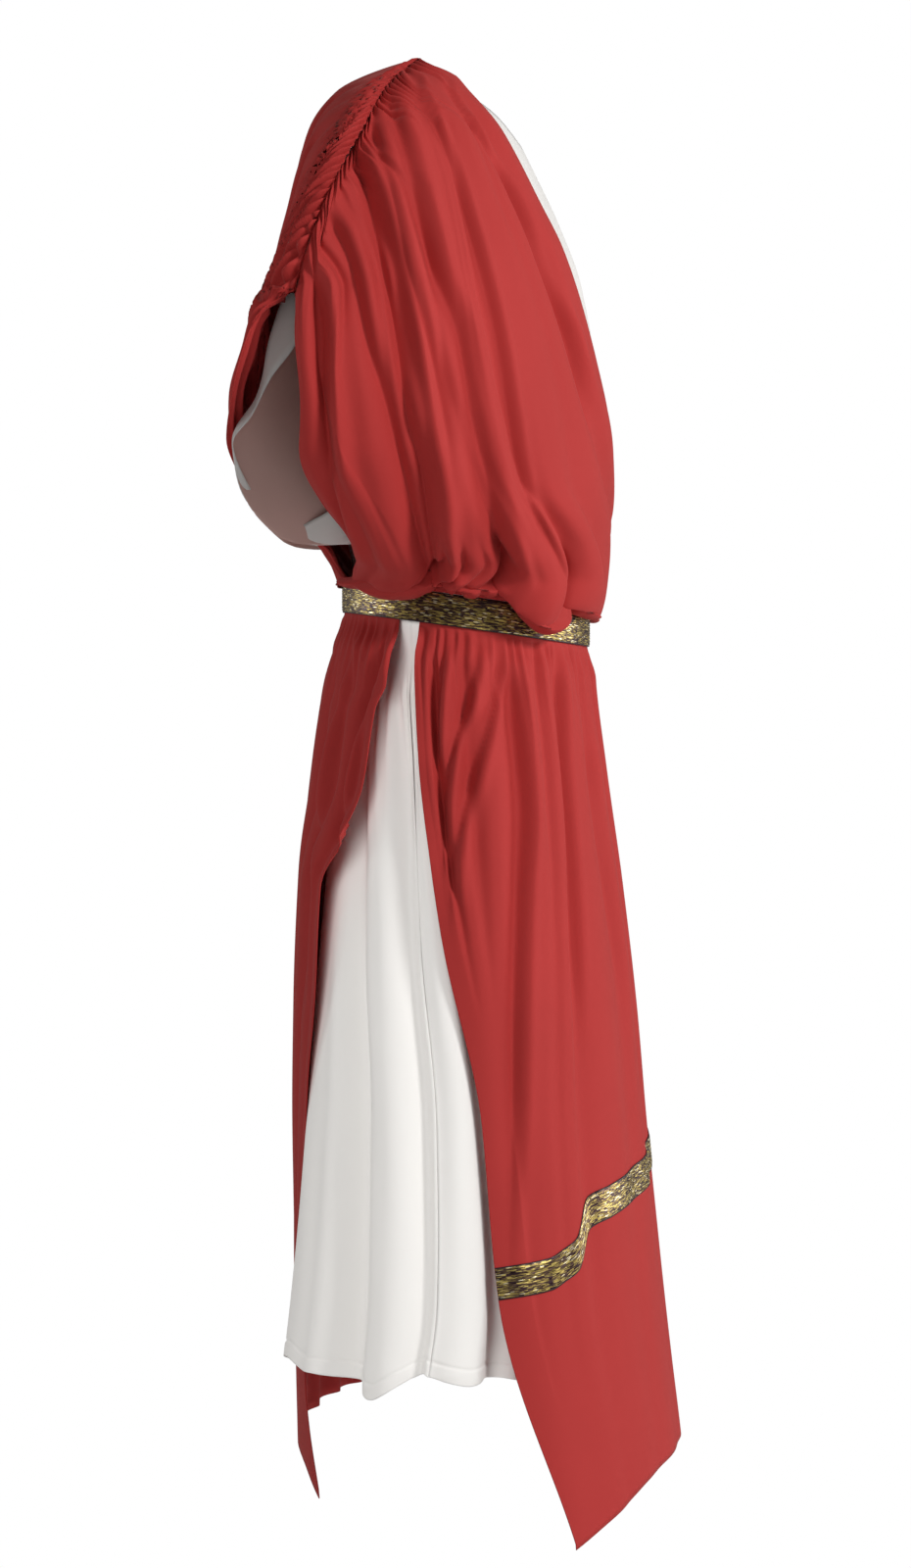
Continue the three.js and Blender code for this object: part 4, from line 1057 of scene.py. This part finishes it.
def sleeve_grid(side):
    """A sleeve from its armhole to its open rim, closed all round."""
    turns = np.arange(SLEEVE_TURNS) * 360 / SLEEVE_TURNS
    alongs = np.linspace(0, 1, SLEEVE_ROWS)
    grid = []
    for turn in turns:
        down = mix(SHOULDER_DOWN, UNDERARM_DOWN, 0.5 - 0.5 * math.cos(turn * DEGREE))
        angle = ARMHOLE.front(down) if turn <= 180 else ARMHOLE.back(down)
        root = around(TUNIC, down, angle) + np.array([-SLEEVE_CLEAR, 0, 0])
        rim = np.array([SLEEVE_RIM.across(turn), SLEEVE_RIM.deep(turn), -SLEEVE_RIM.down(turn)], float)
        outward = np.array([0, -math.sin(turn * DEGREE), math.cos(turn * DEGREE)])
        swell = SLEEVE_SWELL(alongs) * float(SLEEVE_RIM.swell(turn))
        crease = 1.5 * uneven(turn * 0.05 + alongs * 2.5, 2.0) * ease(alongs / 0.2) * ease((1 - alongs) / 0.1)
        grid.append(root + (rim - root) * alongs[:, None] + outward * (swell + crease)[:, None])
    grid = np.stack(grid)
    grid[..., 0] *= side
    return grid if side > 0 else grid[::-1]


def sleeve(name, side):
    grid = sleeve_grid(side)
    along = np.roll(grid, -1, axis=0) - np.roll(grid, 1, axis=0)
    down = np.gradient(grid, axis=1)
    normal = np.cross(down, along)
    normal /= np.linalg.norm(normal, axis=2, keepdims=True)
    centre = grid.mean(axis=(0, 1))
    if ((grid - centre) * normal).sum() < 0:
        grid = grid[::-1]
        normal = -normal[::-1]
    return wall(name, grid, grid - normal * CLOTH, closed=True)


def strip_uv(along, across):
    """Texture places on a strip, from the shares of its length and width."""
    return np.stack(np.meshgrid(along, across, indexing="ij"), axis=-1)


def belt_piece():
    """The elastic belt: fine ribs round it, and a dark edge at its top and foot."""
    angles = np.arange(0, 360, 1.0)
    across = np.linspace(0, 1, 37)
    rib = 0.22 * np.cos(across * 2 * math.pi * 12)
    rounded = -0.7 * np.abs(2 * across - 1) ** 8

    def hoop(out):
        rows = [on_belt(angle, out, -float(belt_top(angle)) - across * BELT["wide"]) for angle in angles]
        return np.stack(rows)[::-1]

    uv = strip_uv(np.linspace(0, 1, len(angles)), across)
    return wall("gold_belt", hoop(rib + rounded), hoop(-BELT_THICK), closed=True, uv=uv)


def ribbon_piece(skirt):
    """The ribbon lies on the front skirt: the skirt's own points between two rows, moved out."""
    first = SKIRT_ROWS["belt"] + SKIRT_ROWS["upper"]
    rows = slice(first, first + SKIRT_ROWS["ribbon"] + 1)
    normal = normals_of(skirt)[:, rows]
    base = skirt[:, rows]
    fine = np.linspace(0, SKIRT_ROWS["ribbon"], 25)
    low = np.floor(fine).astype(int).clip(0, SKIRT_ROWS["ribbon"] - 1)
    part = (fine - low)[None, :, None]
    base = base[:, low] * (1 - part) + base[:, low + 1] * part
    normal = normal[:, low] * (1 - part) + normal[:, low + 1] * part
    across = np.linspace(0, 1, len(fine))
    rise = RIBBON_STAND + 0.12 * np.cos(across * 2 * math.pi * 8) - 0.5 * np.abs(2 * across - 1) ** 8
    outer = base + normal * rise[None, :, None]
    inner = base + normal * 0.3
    length = np.concatenate([[0], np.cumsum(np.linalg.norm(np.diff(base[:, 0], axis=0), axis=1))])
    return wall("gold_ribbon", outer, inner, uv=strip_uv(length / length[-1], across))


def shader(name, base, roughness, metallic=0.0):
    """A new material with its principled shader set up."""
    material = bpy.data.materials.new(name)
    material.use_nodes = True
    principled = material.node_tree.nodes["Principled BSDF"]
    principled.inputs["Base Color"].default_value = (*base, 1)
    principled.inputs["Roughness"].default_value = roughness
    principled.inputs["Metallic"].default_value = metallic
    return material, material.node_tree, principled


def node(tree, kind, inputs, **settings):
    """A new shader node: its settings, then each input set to a constant or fed by an output."""
    made = tree.nodes.new("ShaderNode" + kind)
    for name, setting in settings.items():
        setattr(made, name, setting)
    for name, given in inputs.items():
        if isinstance(given, bpy.types.NodeSocket):
            tree.links.new(given, made.inputs[name])
        else:
            made.inputs[name].default_value = given
    return made


def colour_ramp(tree, source, stops):
    """A ramp through the stops' colours, read at the source."""
    ramp = node(tree, "ValToRGB", {"Fac": source})
    elements = ramp.color_ramp.elements
    for element, (position, colour) in zip(elements, (stops[0], stops[-1])):
        element.position = position
        element.color = (*colour, 1)
    for position, colour in stops[1:-1]:
        elements.new(position).color = (*colour, 1)
    return ramp


def jersey(name, base, sheen, sheen_tint, mottle):
    """Fine knitted cloth: a hint of weave, small uneven tone and a soft sheen."""
    material, tree, principled = shader(name, base, 0.78)
    principled.inputs["Sheen Weight"].default_value = sheen
    principled.inputs["Sheen Roughness"].default_value = 0.45
    principled.inputs["Sheen Tint"].default_value = (*sheen_tint, 1)
    principled.inputs["Specular IOR Level"].default_value = 0.25
    place = node(tree, "TexCoord", {}).outputs["Object"]
    weave = node(tree, "TexNoise", {"Scale": 1400, "Detail": 2, "Vector": place})
    bump = node(tree, "Bump", {"Strength": 0.12, "Distance": 0.0004, "Height": weave.outputs["Fac"]})
    tree.links.new(bump.outputs["Normal"], principled.inputs["Normal"])
    tone = node(tree, "TexNoise", {"Scale": 7, "Detail": 3, "Vector": place})
    dark = [v * (1 - mottle) for v in base]
    light = [min(1, v * (1 + mottle)) for v in base]
    ramp = colour_ramp(tree, tone.outputs["Fac"], [(0.3, dark), (0.7, light)])
    tree.links.new(ramp.outputs["Color"], principled.inputs["Base Color"])
    return material


# The lame's tones from its dark ground to its brightest specks, by how common each is.
LAME_TONES = [
    (0.0, (0.05, 0.025, 0.03)),
    (0.34, (0.13, 0.08, 0.05)),
    (0.58, (0.33, 0.24, 0.07)),
    (0.8, (0.62, 0.48, 0.14)),
    (0.95, (1.0, 0.9, 0.6)),
]
LAME_SPECK = {"long": 4.2, "wide": 0.62}


def lame(name, length_mm, width_mm, edge_share):
    """Metallic cloth: gold threads in rows over a dark ground, with specks and dark edges."""
    material, tree, principled = shader(name, (0.4, 0.3, 0.08), 0.38, 0.85)
    uv = node(tree, "UVMap", {}, uv_map="along_across").outputs["UV"]
    counts = (length_mm / LAME_SPECK["long"], width_mm / LAME_SPECK["wide"], 1)
    scale = node(tree, "VectorMath", {0: uv, 1: counts}, operation="MULTIPLY")
    at = {"Scale": 1.0, "Vector": scale.outputs["Vector"]}
    specks = node(tree, "TexVoronoi", at, voronoi_dimensions="2D")
    split = node(tree, "SeparateColor", {"Color": specks.outputs["Color"]})
    ramp = colour_ramp(tree, split.outputs["Red"], LAME_TONES)
    ramp.color_ramp.interpolation = "CONSTANT"
    across = node(tree, "SeparateXYZ", {"Vector": uv}).outputs["Y"]
    centre = node(tree, "Math", {0: across, 1: 0.5}, operation="SUBTRACT")
    far = node(tree, "Math", {0: centre.outputs["Value"]}, operation="ABSOLUTE")
    edge = node(tree, "Math", {0: far.outputs["Value"], 1: 0.5 - edge_share}, operation="GREATER_THAN")
    on_edge = edge.outputs["Value"]
    colours = {"Color2": (0.02, 0.009, 0.01, 1), "Fac": on_edge, "Color1": ramp.outputs["Color"]}
    blend = node(tree, "MixRGB", colours)
    metal = node(tree, "Math", {0: on_edge, 1: -0.8, 2: 0.85}, operation="MULTIPLY_ADD")
    rough = node(tree, "Math", {0: split.outputs["Green"], 1: 0.3, 2: 0.25}, operation="MULTIPLY_ADD")
    bump = node(tree, "Bump", {"Strength": 0.5, "Distance": 0.0003, "Height": split.outputs["Blue"]})
    tree.links.new(blend.outputs["Color"], principled.inputs["Base Color"])
    tree.links.new(metal.outputs["Value"], principled.inputs["Metallic"])
    tree.links.new(rough.outputs["Value"], principled.inputs["Roughness"])
    tree.links.new(bump.outputs["Normal"], principled.inputs["Normal"])
    return material


RED = jersey("red_jersey", (0.47, 0.034, 0.031), 0.1, (1.0, 0.5, 0.45), 0.03)
WHITE = jersey("white_jersey", (0.87, 0.85, 0.82), 0.1, (1, 1, 1), 0.01)
# A darker, warmer copy of the white jersey: painted shade and painted red bounce light for the sleeves'
# insides.
PAINTED_SHADE_WHITE = jersey("painted_shade_white_jersey", (0.72, 0.46, 0.41), 0.05, (1, 0.8, 0.75), 0.02)
BELT_GOLD = lame("belt_lame", 780, 27, 0.035)
RIBBON_GOLD = lame("ribbon_lame", 620, 27, 0.045)


def dress(piece, material, slot, *nodes):
    """Gives a piece its material, hangs it from the root and hides the frame parts of the nodes it stands
    for.
    """
    piece.data.materials.append(material)
    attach(piece, "root")
    if nodes:
        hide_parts(*nodes)
    return piece


def paint_shade_inside(sleeve_piece):
    """The inside of a sleeve, given painted shade and painted red bounce light: a darker, warmer copy of the
    white jersey on its inner faces.
    """
    quads = SLEEVE_TURNS * (SLEEVE_ROWS - 1)
    sleeve_piece.data.materials.append(PAINTED_SHADE_WHITE)
    for face in sleeve_piece.data.polygons[quads:2 * quads]:
        face.material_index = 1


skirt_grid = front_skirt_grid()
drape_front = dress(toga_front_bodice(), RED, "toga_cloth", "toga_front_bodice")
drape_back = dress(toga_back_bodice(), RED, "toga_cloth", "toga_back_bodice")
skirt_front = dress(cloth_wall("skirt_front", skirt_grid), RED, "toga_cloth", "toga_front_skirt")
skirt_back = dress(cloth_wall("skirt_back", back_skirt_grid()), RED, "toga_cloth", "toga_back_skirt")
tunic_front_panel = dress(tunic_front(), WHITE, "tunic_cloth", "tunic_front")
tunic_back_panel = dress(tunic_back(), WHITE, "tunic_cloth", "tunic_back")
sleeve_right = dress(sleeve("sleeve_right", 1), WHITE, "tunic_cloth", "tunic_sleeve_right")
sleeve_left = dress(sleeve("sleeve_left", -1), WHITE, "tunic_cloth", "tunic_sleeve_left")
# Painted shade and painted red bounce light on the sleeves' inner faces.
paint_shade_inside(sleeve_right)
paint_shade_inside(sleeve_left)
belt = dress(belt_piece(), BELT_GOLD, "belt_lame", "belt")
ribbon = dress(ribbon_piece(skirt_grid), RIBBON_GOLD, "ribbon_lame", "hem_trim")


# The studio: a floor and a surround that are seen white, with soft lights round the costume.
VIEW = {"away": 18.0, "deep": -0.00415, "height": -0.6142, "tall": 1.328, "sensor": 36.0}
FLOOR_HEIGHT = -1.6
FLOOR_REACH = 80
LIGHT_AIM = (0, 0, -0.55)


def camera():
    data = bpy.data.cameras.new("photo_camera")
    data.sensor_width = VIEW["sensor"]
    data.lens = VIEW["sensor"] * VIEW["away"] / VIEW["tall"]
    data.clip_end = 200
    eye = bpy.data.objects.new("photo_camera", data)
    eye.location = (-VIEW["away"], VIEW["deep"], VIEW["height"])
    eye.rotation_euler = (math.pi / 2, 0, -math.pi / 2)
    bpy.context.scene.collection.objects.link(eye)
    bpy.context.scene.camera = eye


def seen_white(tree, behind):
    """Shows plain white to the camera and another shader to every other ray."""
    path = tree.nodes.new("ShaderNodeLightPath")
    choose = tree.nodes.new("ShaderNodeMixShader")
    kind = "ShaderNodeBackground" if behind.bl_idname == "ShaderNodeBackground" else "ShaderNodeEmission"
    plain = tree.nodes.new(kind)
    plain.inputs["Color"].default_value = (1, 1, 1, 1)
    plain.inputs["Strength"].default_value = 1.0
    tree.links.new(path.outputs["Is Camera Ray"], choose.inputs["Fac"])
    tree.links.new(behind.outputs[0], choose.inputs[1])
    tree.links.new(plain.outputs[0], choose.inputs[2])
    return choose


def studio():
    world = bpy.data.worlds.new("studio")
    world.use_nodes = True
    bpy.context.scene.world = world
    tree = world.node_tree
    around_light = tree.nodes["Background"]
    around_light.inputs["Color"].default_value = (1.0, 0.985, 0.97, 1)
    around_light.inputs["Strength"].default_value = 0.14
    choose = seen_white(tree, around_light)
    tree.links.new(choose.outputs[0], tree.nodes["World Output"].inputs["Surface"])
    mesh = bpy.data.meshes.new("floor")
    corners = [(FLOOR_REACH * x, FLOOR_REACH * y, 0) for x, y in ((-1, -1), (1, -1), (1, 1), (-1, 1))]
    mesh.from_pydata(corners, [], [(0, 1, 2, 3)])
    floor = bpy.data.objects.new("floor", mesh)
    floor.location.z = FLOOR_HEIGHT
    bpy.context.scene.collection.objects.link(floor)
    material, floor_tree, principled = shader("floor", (0.8, 0.8, 0.8), 0.9)
    chosen = seen_white(floor_tree, principled)
    floor_tree.links.new(chosen.outputs[0], floor_tree.nodes["Material Output"].inputs["Surface"])
    mesh.materials.append(material)
    for name, place, size, power, gloss, group in LIGHTS:
        data = bpy.data.lights.new(name, "AREA")
        data.shape = "DISK"
        data.size = size
        data.energy = power
        data.specular_factor = gloss
        lamp = bpy.data.objects.new(name, data)
        lamp.location = place
        aim = np.array(LIGHT_AIM) - np.array(place)
        tilt = math.atan2(math.hypot(aim[0], aim[1]), -aim[2])
        lamp.rotation_euler = (tilt, 0, math.atan2(aim[1], aim[0]) - math.pi / 2)
        bpy.context.scene.collection.objects.link(lamp)
        if group:
            lit = bpy.data.collections.new(name)
            for piece in GROUPS[group]:
                lit.objects.link(piece)
            lamp.light_linking.receiver_collection = lit


# Each light's place, size and power, how much of it shows as gloss, and the pieces it lights.
LIGHTS = [
    ("key", (-2.6, -3.0, 1.5), 1.0, 112, 0.15, None),
    ("fill", (-3.4, 1.4, 0.4), 2.4, 22, 0.3, "open cloth"),
    ("tunic_fill", (-3.2, 1.8, 0.0), 2.6, 52, 0.0, "tunic"),
    ("front_side", (0.4, -3.2, 0.0), 1.2, 32, 1.0, None),
    ("back_side", (0.6, 3.2, 0.2), 1.2, 14, 1.0, None),
    ("gold_front", (1.6, -3.2, -0.3), 2.0, 24, 1.0, "gold"),
    ("gold_back", (1.8, 3.0, -0.3), 2.0, 20, 1.0, "gold"),
]
GROUPS = {
    "tunic": [tunic_front_panel, tunic_back_panel],
    "open cloth": [drape_front, drape_back, skirt_front, skirt_back, tunic_front_panel, tunic_back_panel],
    "gold": [belt, ribbon],
}
camera()
studio()
bpy.context.scene.view_settings.view_transform = "Standard"

# Each sheet's width and length, its flat area, how it is held and on what it rests. The two
# drapes have slanting cuts, and the length given for them is about the middle of their range.
SHEETS = [
    (drape_front, (0.77, 0.56), 0.26, "gathered", ["belt"]),
    (drape_back, (0.50, 0.55), 0.17, "gathered", ["belt"]),
    (skirt_front, (0.66, 0.84), 0.43, "gathered", ["belt"]),
    (skirt_back, (0.41, 0.82), 0.25, "gathered", ["belt"]),
    (tunic_front_panel, (0.66, 1.20), 0.56, "hung", []),
    (tunic_back_panel, (0.63, 1.20), 0.48, "hung", []),
    (sleeve_right, (0.77, 0.24), 0.085, "hung", ["tunic_front"]),
    (sleeve_left, (0.77, 0.24), 0.085, "hung", ["tunic_front"]),
]
for piece, flat, area, held, rests_on in SHEETS:
    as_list(rests_on)
